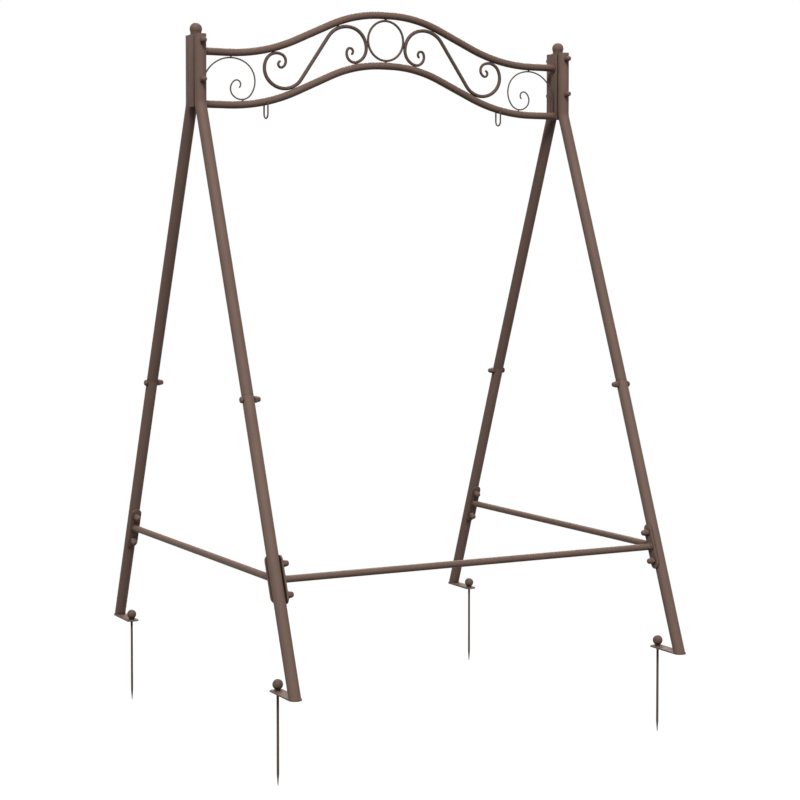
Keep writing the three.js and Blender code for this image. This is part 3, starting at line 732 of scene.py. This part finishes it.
def foot_weld():
    """The weld where the slanted leg meets its foot plate."""
    height = FOOT_THICKNESS + TOUCH_GAP
    station = (FOOT_SPREAD, 0.0, LOWER_HEADING, 0.0)
    loop = slid_to_floor(ring_at(station, LEG_RADIUS, FOOT_WELD_POINTS, PLANE_YZ), LEG_AXIS, height)
    centre = loop.mean(0)
    return bead(loop, centre - loop, FOOT_WELD)


def rounded_square(width, radius):
    half = width / 2 - radius
    points = []
    for corner in range(4):
        middle = QUARTER * corner + QUARTER / 2
        centre = (math.copysign(half, math.cos(middle)), math.copysign(half, math.sin(middle)))
        for i in range(POST_CORNER_STEPS + 1):
            angle = QUARTER * corner + QUARTER * i / POST_CORNER_STEPS
            points.append((centre[0] + radius * math.cos(angle), centre[1] + radius * math.sin(angle)))
    return np.array(points)


def header_post():
    """A square tube with a closed top and an open foot."""
    outline = rounded_square(POST_WIDTH, POST_CORNER)
    bore = rounded_square(POST_WIDTH - 2 * TUBE_WALL, POST_CORNER - TUBE_WALL)

    def ring(loop, height, width=POST_WIDTH):
        return np.column_stack((loop * (width / POST_WIDTH), np.full(len(loop), height)))

    inner = [ring(bore, POST_TOP - TUBE_WALL), ring(bore, POST_BOTTOM)]
    edges = rounded(POST_WIDTH / 2)
    foot = [ring(outline, POST_BOTTOM + depth, 2 * half) for depth, half in edges]
    top = [ring(outline, POST_TOP - depth, 2 * half) for depth, half in reversed(edges)]
    return skin([*inner, *foot, *top])


def finial():
    meeting = -math.degrees(math.acos(FINIAL_BASE_RADIUS / FINIAL_RADIUS))
    base = turned_edge(FINIAL_BASE_RADIUS, TOUCH_GAP, FINIAL_EDGE)
    ball = arc((0, FINIAL_RISE), FINIAL_RADIUS, meeting, QUARTER_TURN, BALL_STEPS)[:-1]
    return lathe([(0, TOUCH_GAP), *base, *ball, (0, FINIAL_RISE + FINIAL_RADIUS)], BALL_SIDES)


# Header, drawn in the XZ plane


def header_path(height, **fineness):
    straights = HEADER_END_FLAT + RISE_LENGTH * math.cos(RISE_ANGLE) + CROWN_FLAT / 2
    flare = (HEADER_HALF_SPAN - straights) / math.sin(RISE_ANGLE) - CROWN_RADIUS
    turn = math.degrees(RISE_ANGLE)
    climb = [(HEADER_END_FLAT, None), (flare, turn), (RISE_LENGTH, None), (CROWN_RADIUS, -turn)]
    runs = [*climb, (CROWN_FLAT, None), *reversed(climb)]
    return trace((-HEADER_HALF_SPAN, height), 0.0, runs, **fineness)


UPPER_PATH = header_path(UPPER_TUBE_HEIGHT)
LOWER_PATH = header_path(LOWER_TUBE_HEIGHT)
RING_CENTRE = height_at(UPPER_PATH, 0) - HEADER_DROP / 2


def collar_profile(radius, length, tube_radius):
    """Depth and radius along a collar with rounded edges, going from the end of its tube into the span."""
    edge = rounded(radius, COLLAR_EDGE)
    return [*edge, *[(length - depth, size) for depth, size in reversed(edge)], (length, tube_radius)]


def header_tube(path):
    def ring(station, radius):
        return ring_at(station, radius, TUBE_SIDES, PLANE_XZ)

    def collar(station, sense):
        profile = collar_profile(COLLAR_RADIUS, COLLAR_LENGTH, HEADER_RADIUS)
        return [ring(ahead(station, sense * depth), radius) for depth, radius in profile]

    first, last = path[0], path[-1]
    body = [ring(station, HEADER_RADIUS) for station in path[1:-1]]
    outer = [*collar(first, 1), *body, *collar(last, -1)[::-1]]
    inner = [ring(station, HEADER_RADIUS - TUBE_WALL) for station in reversed(path)]
    return skin([*outer, *inner], goes_round=True)


def ring_path():
    start = (RING_RADIUS, RING_CENTRE)
    return trace(start, QUARTER, [(RING_RADIUS, FULL_TURN)])


def centre_ring():
    path = ring_path()[:-1]
    rings = [ring_at(station, RING_WIRE_RADIUS, WIRE_SIDES, PLANE_XZ) for station in path]
    return skin(rings, goes_round=True)


def scroll_path(size, middle, **fineness):
    def runs(shares):
        return [(share * size, turn) for share, turn in shares]

    heading = math.radians(SCROLL_HEADING)
    outer = trace(middle, heading + math.pi, runs(SCROLL_OUTER_SHARES), **fineness)
    inner = trace(middle, heading, runs(SCROLL_INNER_SHARES), **fineness)
    return outer, inner, joined_path(outer, inner)


def scroll_radius(length):
    def radius_at(station):
        fullness = min(1, min(station[3], length - station[3]) / SCROLL_TAPER)
        return SCROLL_TIP_RADIUS + (SCROLL_RADIUS - SCROLL_TIP_RADIUS) * fullness

    return radius_at


def solid_box(path, radius_at):
    points = np.concatenate([ring_at(s, radius_at(s), SOLID_SIDES, PLANE_XZ) for s in path])
    return points.min(0), points.max(0)


def seated_scroll():
    """The left scroll's size and middle, from the box of its solid in the frame."""
    low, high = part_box("scroll_left")
    coarse = {"chord": SOLID_CHORD, "widest": SOLID_STEP}
    size = HEADER_DROP
    middle = [(low.x + high.x) / 2, (low.z + high.z) / 2]
    for _ in range(SCROLL_ROUNDS):
        whole = scroll_path(size, middle, **coarse)[2]
        found_low, found_high = solid_box(whole, scroll_radius(whole[-1][3]))
        size *= (high.x - low.x) / (found_high[0] - found_low[0])
        middle[0] += (low.x + high.x - found_low[0] - found_high[0]) / 2
        middle[1] += low.z - found_low[2]
    return size, middle


def corner_path(size, **fineness):
    start = (-HEADER_HALF_SPAN + CORNER_WIRE_RADIUS, LOWER_TUBE_HEIGHT + COLLAR_RADIUS + TOUCH_GAP)
    return trace(start, QUARTER, [(share * size, turn) for share, turn in CORNER_SHARES], **fineness)


def corner_radius(_):
    return CORNER_WIRE_RADIUS


def seated_corner():
    """The left corner scroll's size, from the box of its solid in the frame."""
    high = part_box("corner_scroll_left")[1]
    size = HEADER_DROP
    for _ in range(CORNER_ROUNDS):
        path = corner_path(size, chord=SOLID_CHORD, widest=SOLID_STEP)
        reach = solid_box(path, corner_radius)[1][0] + HEADER_HALF_SPAN
        size *= (high.x + HEADER_HALF_SPAN) / reach
    return size


def spot_between(path, tube_path, radius, inset, tube_radius=HEADER_RADIUS):
    """A weld spot from a rod's middle to just inside the tube next to it."""
    distance, station, point = closest(path, tube_path)
    start = place_of(station, PLANE_XZ)
    end = place_of(point, PLANE_XZ)
    reach = (distance - tube_radius + inset) / distance
    return weld_spot(start, start + (end - start) * reach, radius)


def swing_hook():
    side = HEADER_RADIUS + TOUCH_GAP + HOOK_WIRE_RADIUS
    shank = HOOK_DROP - side
    path = trace((-side, 0.0), -QUARTER, [(shank, None), (side, HALF_TURN), (shank, None)])
    rings = [ring_at(station, HOOK_WIRE_RADIUS, WIRE_SIDES, PLANE_YZ) for station in path]
    return skin(rings)


def hook_weld(side):
    """The weld that holds one end of a hook to the front or back of its tube."""
    low, high = HOOK_WELD_SPAN
    outline = [(HOOK_WELD_RADIUS * wide, (high - low) * share) for share, wide in SWOLLEN_SHARES]
    reach = side * (HEADER_RADIUS + HOOK_WIRE_RADIUS / 2)
    return moved(lathe(outline, WIRE_SIDES), (0, reach, low))


# Braces


def brace(plane, middle, start, finish):
    """A bar with a rounded collar at each end, between end planes of (point, normal into the bar)."""
    direction = direction_of(0.0, plane)

    def at(radius, end, inset):
        point, normal = end
        ring = ring_at((0.0, 0.0, 0.0, 0.0), radius, TUBE_SIDES, plane) + middle
        depth = ((point + normal * inset - ring) @ normal) / (direction @ normal)
        return ring + np.outer(depth, direction)

    collar = collar_profile(BRACE_COLLAR_RADIUS, BRACE_COLLAR_LENGTH, BRACE_RADIUS)
    outer = [at(radius, start, TOUCH_GAP + depth) for depth, radius in collar]
    outer += [at(radius, finish, TOUCH_GAP + depth) for depth, radius in reversed(collar)]
    bore = BRACE_RADIUS - TUBE_WALL
    inner = [at(bore, finish, TOUCH_GAP), at(bore, start, TOUCH_GAP)]
    return skin([*outer, *inner], goes_round=True)


def plate_centre(facing, lift):
    face = BRACE_POINT + facing * lift
    return face + LEG_AXIS * ((BRACE_HEIGHT - face[2]) / LEG_AXIS[2])


def hole_at(along, rod_radius):
    """A clearance hole on a plate's middle line. Holes run to the right."""
    radius = rod_radius + SLIP_GAP
    angles = np.arange(HOLE_SIDES) * (-2 * math.pi / HOLE_SIDES)
    return [(radius * math.cos(a), along + radius * math.sin(a)) for a in angles]


def half_round(centre, radius, start, steps):
    """Points on a half circle, beginning at an angle in degrees."""
    angles = np.radians(np.linspace(start, start + HALF_TURN, steps + 1))
    return [(centre[0] + radius * math.cos(a), centre[1] + radius * math.sin(a)) for a in angles]


def brace_plate():
    half = PLATE_WIDTH / 2
    straight = PLATE_LENGTH / 2 - half
    outline = half_round((0, straight), half, 0, BRACE_PLATE_STEPS)
    outline += half_round((0, -straight), half, HALF_TURN, BRACE_PLATE_STEPS)
    holes = [hole_at(offset, SCREW_RADIUS) for offset in SCREW_OFFSETS.values()]
    return plate(outline, holes, PLATE_THICKNESS, PLATE_EDGE)


def foot_plate():
    half = FOOT_WIDTH / 2
    inner_end = FOOT_SPREAD - FOOT_REACH
    outline = [
        (-half + FOOT_CORNER, inner_end),
        (half - FOOT_CORNER, inner_end),
        (half, inner_end + FOOT_CORNER),
        *half_round((0, FOOT_SPREAD), half, 0, FOOT_PLATE_STEPS),
        (-half, inner_end + FOOT_CORNER),
    ]
    hole = hole_at(FOOT_SPREAD - STAKE_INSET, STAKE_RADIUS)
    return plate(outline, [hole], FOOT_THICKNESS, FOOT_EDGE)


def stake():
    seat = FOOT_THICKNESS + TOUCH_GAP
    meeting = -math.degrees(math.acos(STAKE_COLLAR_RADIUS / STAKE_BALL_RADIUS))
    ball = arc((0, STAKE_BALL_HEIGHT), STAKE_BALL_RADIUS, meeting, QUARTER_TURN, BALL_STEPS)[:-1]
    tip_centre = (0, -STAKE_DEPTH + STAKE_TIP_RADIUS)
    outline = [
        (0, -STAKE_DEPTH),
        *arc(tip_centre, STAKE_TIP_RADIUS, *STAKE_TIP_ARC, TURNED_EDGE_STEPS),
        (STAKE_RADIUS, -STAKE_DEPTH + STAKE_POINT),
        (STAKE_RADIUS, seat),
        *turned_edge(STAKE_COLLAR_RADIUS, seat, STAKE_COLLAR_EDGE),
        *ball,
        (0, STAKE_BALL_HEIGHT + STAKE_BALL_RADIUS),
    ]
    return lathe(outline, BALL_SIDES)


# Bolts, with the face that they bear on at height zero and their axis on +Z


def hexagon_ring(flats, height, corner):
    """A hexagon whose corners are cut back to a share of their reach, with a point on each flat."""
    angles = np.arange(BOLT_SIDES) * (2 * math.pi / BOLT_SIDES)
    half_side = math.pi / HEXAGON_SIDES
    folded = (angles + half_side) % (2 * half_side) - half_side
    corner_reach = flats / 2 / math.cos(half_side)
    reach = np.minimum(flats / 2 / np.cos(folded), corner_reach * corner)
    return np.stack((reach * np.cos(angles), reach * np.sin(angles), np.full(BOLT_SIDES, height)), 1)


def round_ring(radius, height):
    angles = np.arange(BOLT_SIDES) * (2 * math.pi / BOLT_SIDES)
    return np.stack((radius * np.cos(angles), radius * np.sin(angles), np.full(BOLT_SIDES, height)), 1)


def cap_nut_rings(scale=1):
    """Bearing face, chamfered hexagon and blunt dome of a cap nut, going up."""
    face = NUT_FLATS / 2 * NUT_FACE_SHARE
    levels = list(zip((NUT_EDGE, NUT_CHAMFER, 2 * NUT_CHAMFER), NUT_CORNER_SHARES))
    rings = [round_ring(face, 0.0)]
    rings += [hexagon_ring(NUT_FLATS, height, corner) for height, corner in levels]
    levels = [(NUT_HEX_HEIGHT - height, corner) for height, corner in reversed(levels)]
    rings += [hexagon_ring(NUT_FLATS, height, corner) for height, corner in levels]
    rings.append(round_ring(face, NUT_HEX_HEIGHT))
    rise = NUT_HEIGHT - NUT_HEX_HEIGHT
    for across, up in cap_profile():
        rings.append(round_ring(NUT_DOME_RADIUS * across, NUT_HEX_HEIGHT + rise * up))
    return [ring * scale for ring in rings]


def cap_profile():
    """Shares of reach and height along a blunt dome, going up and short of its middle."""
    for i in range(DOME_STEPS):
        angle = QUARTER * i / DOME_STEPS
        yield math.cos(angle) ** DOME_BLUNTNESS, math.sin(angle) ** DOME_BLUNTNESS


def dome_rings(radius, height):
    """Rings of a low dome head, going up from its bearing face."""
    rise = height - HEAD_EDGE
    rings = [round_ring(radius - HEAD_EDGE, 0.0)]
    rings += [round_ring(radius * across, HEAD_EDGE + rise * up) for across, up in cap_profile()]
    return rings


def through_bolt(grip):
    head = [ring * (1, 1, -1) - Z_AXIS * grip for ring in dome_rings(HEAD_RADIUS, HEAD_HEIGHT)]
    shank = [round_ring(BOLT_RADIUS, -grip), round_ring(BOLT_RADIUS, 0.0)]
    return skin([*head[::-1], *shank, *cap_nut_rings()])


def plate_screw():
    reach = PLATE_THICKNESS + 2 * TOUCH_GAP + SCREW_REACH
    shank = [round_ring(SCREW_RADIUS, -reach), round_ring(SCREW_RADIUS, 0.0)]
    return skin([*shank, *cap_nut_rings(SCREW_NUT_SCALE)])


# Assembly


def add_leg(place, is_front, end):
    """One leg of an end with its foot, stake, bolt and plates, built in the leg's own frame."""
    centre = X_AXIS * (end * FRAME_SPACING / 2)
    inward = X_AXIS * (end if is_front else -end)

    def put(name, shape, slot, body="frame", stands_for=True):
        turned_shape = turned_round(shape) if is_front else shape
        piece(f"{name}_finish", moved(turned_shape, centre), slot, body, name if stands_for else None)

    put(f"upper_leg_{place}", upper_leg(), "frame_coat")
    put(f"lower_leg_{place}", lower_leg(), "frame_coat")
    put(f"foot_plate_{place}", foot_plate(), "frame_coat")
    put(f"foot_weld_{place}", foot_weld(), "frame_coat", stands_for=False)
    stake_shape = moved(stake(), Y_AXIS * (FOOT_SPREAD - STAKE_INSET))
    put(f"ground_stake_{place}", stake_shape, "stake_coat", f"stake_{place}")
    bolt_point = JOINT_POINT + inward * (LEG_RADIUS + TOUCH_GAP)
    bolt = set_on(through_bolt(2 * (LEG_RADIUS + TOUCH_GAP)), bolt_point, inward, Z_AXIS)
    put(f"joint_bolt_{place}", bolt, "fastener_coat")

    facings = {"side_brace": LEG_INWARD}
    if is_front:
        facings["front_brace"] = inward
    for name, facing in facings.items():
        seat = plate_centre(facing, PLATE_LIFT)
        put(f"{name}_{place}_plate", set_on(brace_plate(), seat, facing, LEG_AXIS), "frame_coat")
        for level, offset in SCREW_OFFSETS.items():
            point = seat + LEG_AXIS * offset + facing * (PLATE_THICKNESS + TOUCH_GAP)
            screw = set_on(plate_screw(), point, facing, LEG_AXIS)
            put(f"{name}_{place}_screw_{level}", screw, "fastener_coat")


def add_end(name, end):
    centre = X_AXIS * (end * FRAME_SPACING / 2)
    post = moved(header_post(), centre)
    piece(f"header_post_{name}_finish", post, "frame_coat", node_name=f"header_post_{name}")
    ball = moved(finial(), centre + Z_AXIS * POST_TOP)
    piece(f"finial_{name}_finish", ball, "frame_coat", node_name=f"finial_{name}")
    add_leg(f"front_{name}", True, end)
    add_leg(f"back_{name}", False, end)

    face = plate_centre(LEG_INWARD, PLATE_LIFT + PLATE_THICKNESS)
    flip = np.array((1, -1, 1))
    bar = brace(PLANE_YZ, Z_AXIS * BRACE_HEIGHT, (face * flip, LEG_INWARD * flip), (face, LEG_INWARD))
    piece(f"side_bar_{name}_finish", moved(bar, centre), "frame_coat", node_name=f"side_bar_{name}")

    reach = LEG_OFFSET + LEG_RADIUS + TOUCH_GAP
    for level, drop in POST_BOLT_DROPS.items():
        point = centre + np.array((0, -reach, POST_TOP - drop))
        bolt = set_on(through_bolt(2 * reach), point, -Y_AXIS, Z_AXIS)
        node_name = f"post_bolt_{level}_{name}"
        piece(f"{node_name}_finish", bolt, "fastener_coat", node_name=node_name)


def add_front_bar():
    face = FRAME_SPACING / 2 - PLATE_LIFT - PLATE_THICKNESS
    ends = [(X_AXIS * (side * face), X_AXIS * -side) for side in (-1, 1)]
    bar = brace(PLANE_XZ, np.array((0, -BRACE_SPREAD, BRACE_HEIGHT)), *ends)
    piece("front_bar_finish", bar, "frame_coat", node_name="front_bar")


def add_header_tubes():
    for name, path in (("upper", UPPER_PATH), ("lower", LOWER_PATH)):
        node_name = f"header_tube_{name}"
        piece(f"{node_name}_finish", header_tube(path), "frame_coat", node_name=node_name)


def add_ring():
    ring = ring_path()
    piece("centre_ring_finish", centre_ring(), "ironwork_coat", node_name="centre_ring")
    spots = [spot_between(ring, path, RING_WIRE_RADIUS, WELD_INSET) for path in (UPPER_PATH, LOWER_PATH)]
    piece("ring_welds", together(*spots), "ironwork_coat")


def at_end(shape, end):
    """A shape drawn at the left end, mirrored for the right one."""
    return mirrored(shape) if end > 0 else shape


def add_scroll(name, end):
    outer, inner, whole = scroll_path(*seated_scroll())
    scroll = rod(whole, scroll_radius(whole[-1][3]), WIRE_SIDES, PLANE_XZ)
    spots = together(
        spot_between(outer, UPPER_PATH, SCROLL_WELD_RADIUS, WELD_INSET),
        spot_between(inner, UPPER_PATH, SCROLL_WELD_RADIUS, WELD_INSET),
        spot_between(whole, LOWER_PATH, SCROLL_WELD_RADIUS, WELD_INSET),
        spot_between(whole, ring_path(), SCROLL_WELD_RADIUS, WELD_INSET, RING_WIRE_RADIUS),
    )
    node_name = f"scroll_{name}"
    piece(f"{node_name}_finish", at_end(scroll, end), "ironwork_coat", node_name=node_name)
    piece(f"scroll_welds_{name}", at_end(spots, end), "ironwork_coat")


def add_corner_scroll(name, end):
    path = corner_path(seated_corner())
    scroll = rod(path, corner_radius, WIRE_SIDES, PLANE_XZ)
    above_foot = path[math.ceil(len(path) * CORNER_FOOT_SHARE):]
    spots = together(
        spot_between(path, UPPER_PATH, CORNER_WELD_RADIUS, WELD_INSET),
        spot_between(above_foot, LOWER_PATH, CORNER_WELD_RADIUS, WELD_INSET),
    )
    node_name = f"corner_scroll_{name}"
    piece(f"{node_name}_finish", at_end(scroll, end), "ironwork_coat", node_name=node_name)
    piece(f"corner_welds_{name}", at_end(spots, end), "ironwork_coat")


def add_hook(name, end):
    place = np.array((end * HOOK_SPACING / 2, 0, height_at(LOWER_PATH, -HOOK_SPACING / 2)))
    node_name = f"swing_hook_{name}"
    piece(f"{node_name}_finish", moved(swing_hook(), place), "ironwork_coat", node_name=node_name)
    welds = together(hook_weld(-1), hook_weld(1))
    piece(f"hook_welds_{name}", moved(welds, place), "ironwork_coat")


# Stage, light and camera


def add_floor():
    """A plain pale floor that looks white to the camera and keeps the stand's shadow round its feet."""
    mesh = bpy.data.meshes.new("floor")
    half = FLOOR_SIZE / 2
    corners = [(-half, -half), (half, -half), (half, half), (-half, half)]
    mesh.from_pydata([(x, y, FLOOR_HEIGHT) for x, y in corners], [], [(0, 1, 2, 3)])
    floor = bpy.data.objects.new("floor", mesh)
    bpy.context.scene.collection.objects.link(floor)

    material = bpy.data.materials.new("pale_floor")
    material.use_nodes = True
    tree = material.node_tree
    shader = tree.nodes["Principled BSDF"]
    shader.inputs["Base Color"].default_value = FLOOR_COLOUR
    shader.inputs["Roughness"].default_value = FLOOR_ROUGHNESS
    shader.inputs["Specular IOR Level"].default_value = 0.0
    white = node(tree, "ShaderNodeEmission", Strength=1.0)
    glow = node(tree, "ShaderNodeEmission", Strength=FLOOR_GLOW)
    lit = tree.nodes.new("ShaderNodeAddShader")
    tree.links.new(shader.outputs[0], lit.inputs[0])
    tree.links.new(glow.outputs[0], lit.inputs[1])

    place = tree.nodes.new("ShaderNodeTexCoord").outputs["Object"]
    away = tree.nodes.new("ShaderNodeVectorMath")
    away.operation = "LENGTH"
    tree.links.new(place, away.inputs[0])
    fade = node(tree, "ShaderNodeMapRange", **{"From Min": FLOOR_FADE[0], "From Max": FLOOR_FADE[1]})
    fade.interpolation_type = "SMOOTHSTEP"
    tree.links.new(away.outputs["Value"], fade.inputs["Value"])
    shown = tree.nodes.new("ShaderNodeMixShader")
    tree.links.new(fade.outputs["Result"], shown.inputs["Fac"])
    tree.links.new(lit.outputs[0], shown.inputs[1])
    tree.links.new(white.outputs[0], shown.inputs[2])

    mix = tree.nodes.new("ShaderNodeMixShader")
    tree.links.new(seen_directly(tree), mix.inputs["Fac"])
    tree.links.new(shader.outputs[0], mix.inputs[1])
    tree.links.new(shown.outputs[0], mix.inputs[2])
    tree.links.new(mix.outputs[0], tree.nodes["Material Output"].inputs["Surface"])
    mesh.materials.append(material)


def seen_directly(tree):
    """1 for rays from the camera, mirror rays and rays through glass, and 0 for the rest."""
    path = tree.nodes.new("ShaderNodeLightPath")
    total = path.outputs["Is Camera Ray"]
    for kind in ("Is Glossy Ray", "Is Transmission Ray"):
        add = tree.nodes.new("ShaderNodeMath")
        add.operation = "MAXIMUM"
        tree.links.new(total, add.inputs[0])
        tree.links.new(path.outputs[kind], add.inputs[1])
        total = add.outputs[0]
    return total


def add_world():
    """White where it is seen, and a soft sky that is darker low down where it lights the stand."""
    world = bpy.data.worlds.new("studio")
    bpy.context.scene.world = world
    world.use_nodes = True
    tree = world.node_tree
    tree.nodes.clear()
    direction = tree.nodes.new("ShaderNodeTexCoord").outputs["Generated"]
    split = tree.nodes.new("ShaderNodeSeparateXYZ")
    tree.links.new(direction, split.inputs[0])
    height = tree.nodes.new("ShaderNodeMapRange")
    height.inputs["From Min"].default_value = -1.0
    tree.links.new(split.outputs["Z"], height.inputs["Value"])
    sky = ramp(tree, height.outputs["Result"], SKY_BAND, SKY_LOW, WHITE)
    soft = node(tree, "ShaderNodeBackground", Strength=SKY_STRENGTH)
    tree.links.new(sky, soft.inputs["Color"])
    white = node(tree, "ShaderNodeBackground", Color=WHITE, Strength=1.0)
    mix = tree.nodes.new("ShaderNodeMixShader")
    tree.links.new(seen_directly(tree), mix.inputs["Fac"])
    tree.links.new(soft.outputs[0], mix.inputs[1])
    tree.links.new(white.outputs[0], mix.inputs[2])
    output = tree.nodes.new("ShaderNodeOutputWorld")
    tree.links.new(mix.outputs[0], output.inputs["Surface"])


def add_lamp(name, azimuth, elevation, distance, size, power):
    """A square area lamp aimed at the stand, placed by its direction from it."""
    data = bpy.data.lights.new(name, "AREA")
    data.shape = "SQUARE"
    data.size = size
    data.energy = power
    lamp = bpy.data.objects.new(name, data)
    bpy.context.scene.collection.objects.link(lamp)
    turn, lift = math.radians(azimuth), math.radians(elevation)
    back = Vector((math.sin(turn) * math.cos(lift), -math.cos(turn) * math.cos(lift), math.sin(lift)))
    lamp.location = Vector((0, 0, LAMP_AIM)) + back * distance
    lamp.rotation_mode = "QUATERNION"
    lamp.rotation_quaternion = (-back).to_track_quat("-Z", "Y")


def add_camera():
    data = bpy.data.cameras.new("camera")
    data.lens = CAMERA_LENS
    data.sensor_width = CAMERA_SENSOR
    data.shift_y = CAMERA_SHIFT_Y
    data.clip_end = FLOOR_SIZE * 2
    camera = bpy.data.objects.new("camera", data)
    bpy.context.scene.collection.objects.link(camera)
    camera.location = CAMERA_PLACE
    camera.rotation_euler = (QUARTER + CAMERA_PITCH, 0, -CAMERA_YAW)
    bpy.context.scene.camera = camera


add_camera()
add_world()
add_floor()
for lamp_name, lamp_place in LAMPS.items():
    add_lamp(lamp_name, *lamp_place)

for end_name, end_side in ENDS.items():
    add_end(end_name, end_side)
add_front_bar()
add_header_tubes()
add_ring()
for end_name, end_side in ENDS.items():
    add_scroll(end_name, end_side)
    add_corner_scroll(end_name, end_side)
    add_hook(end_name, end_side)

bpy.context.scene.view_settings.view_transform = "Standard"
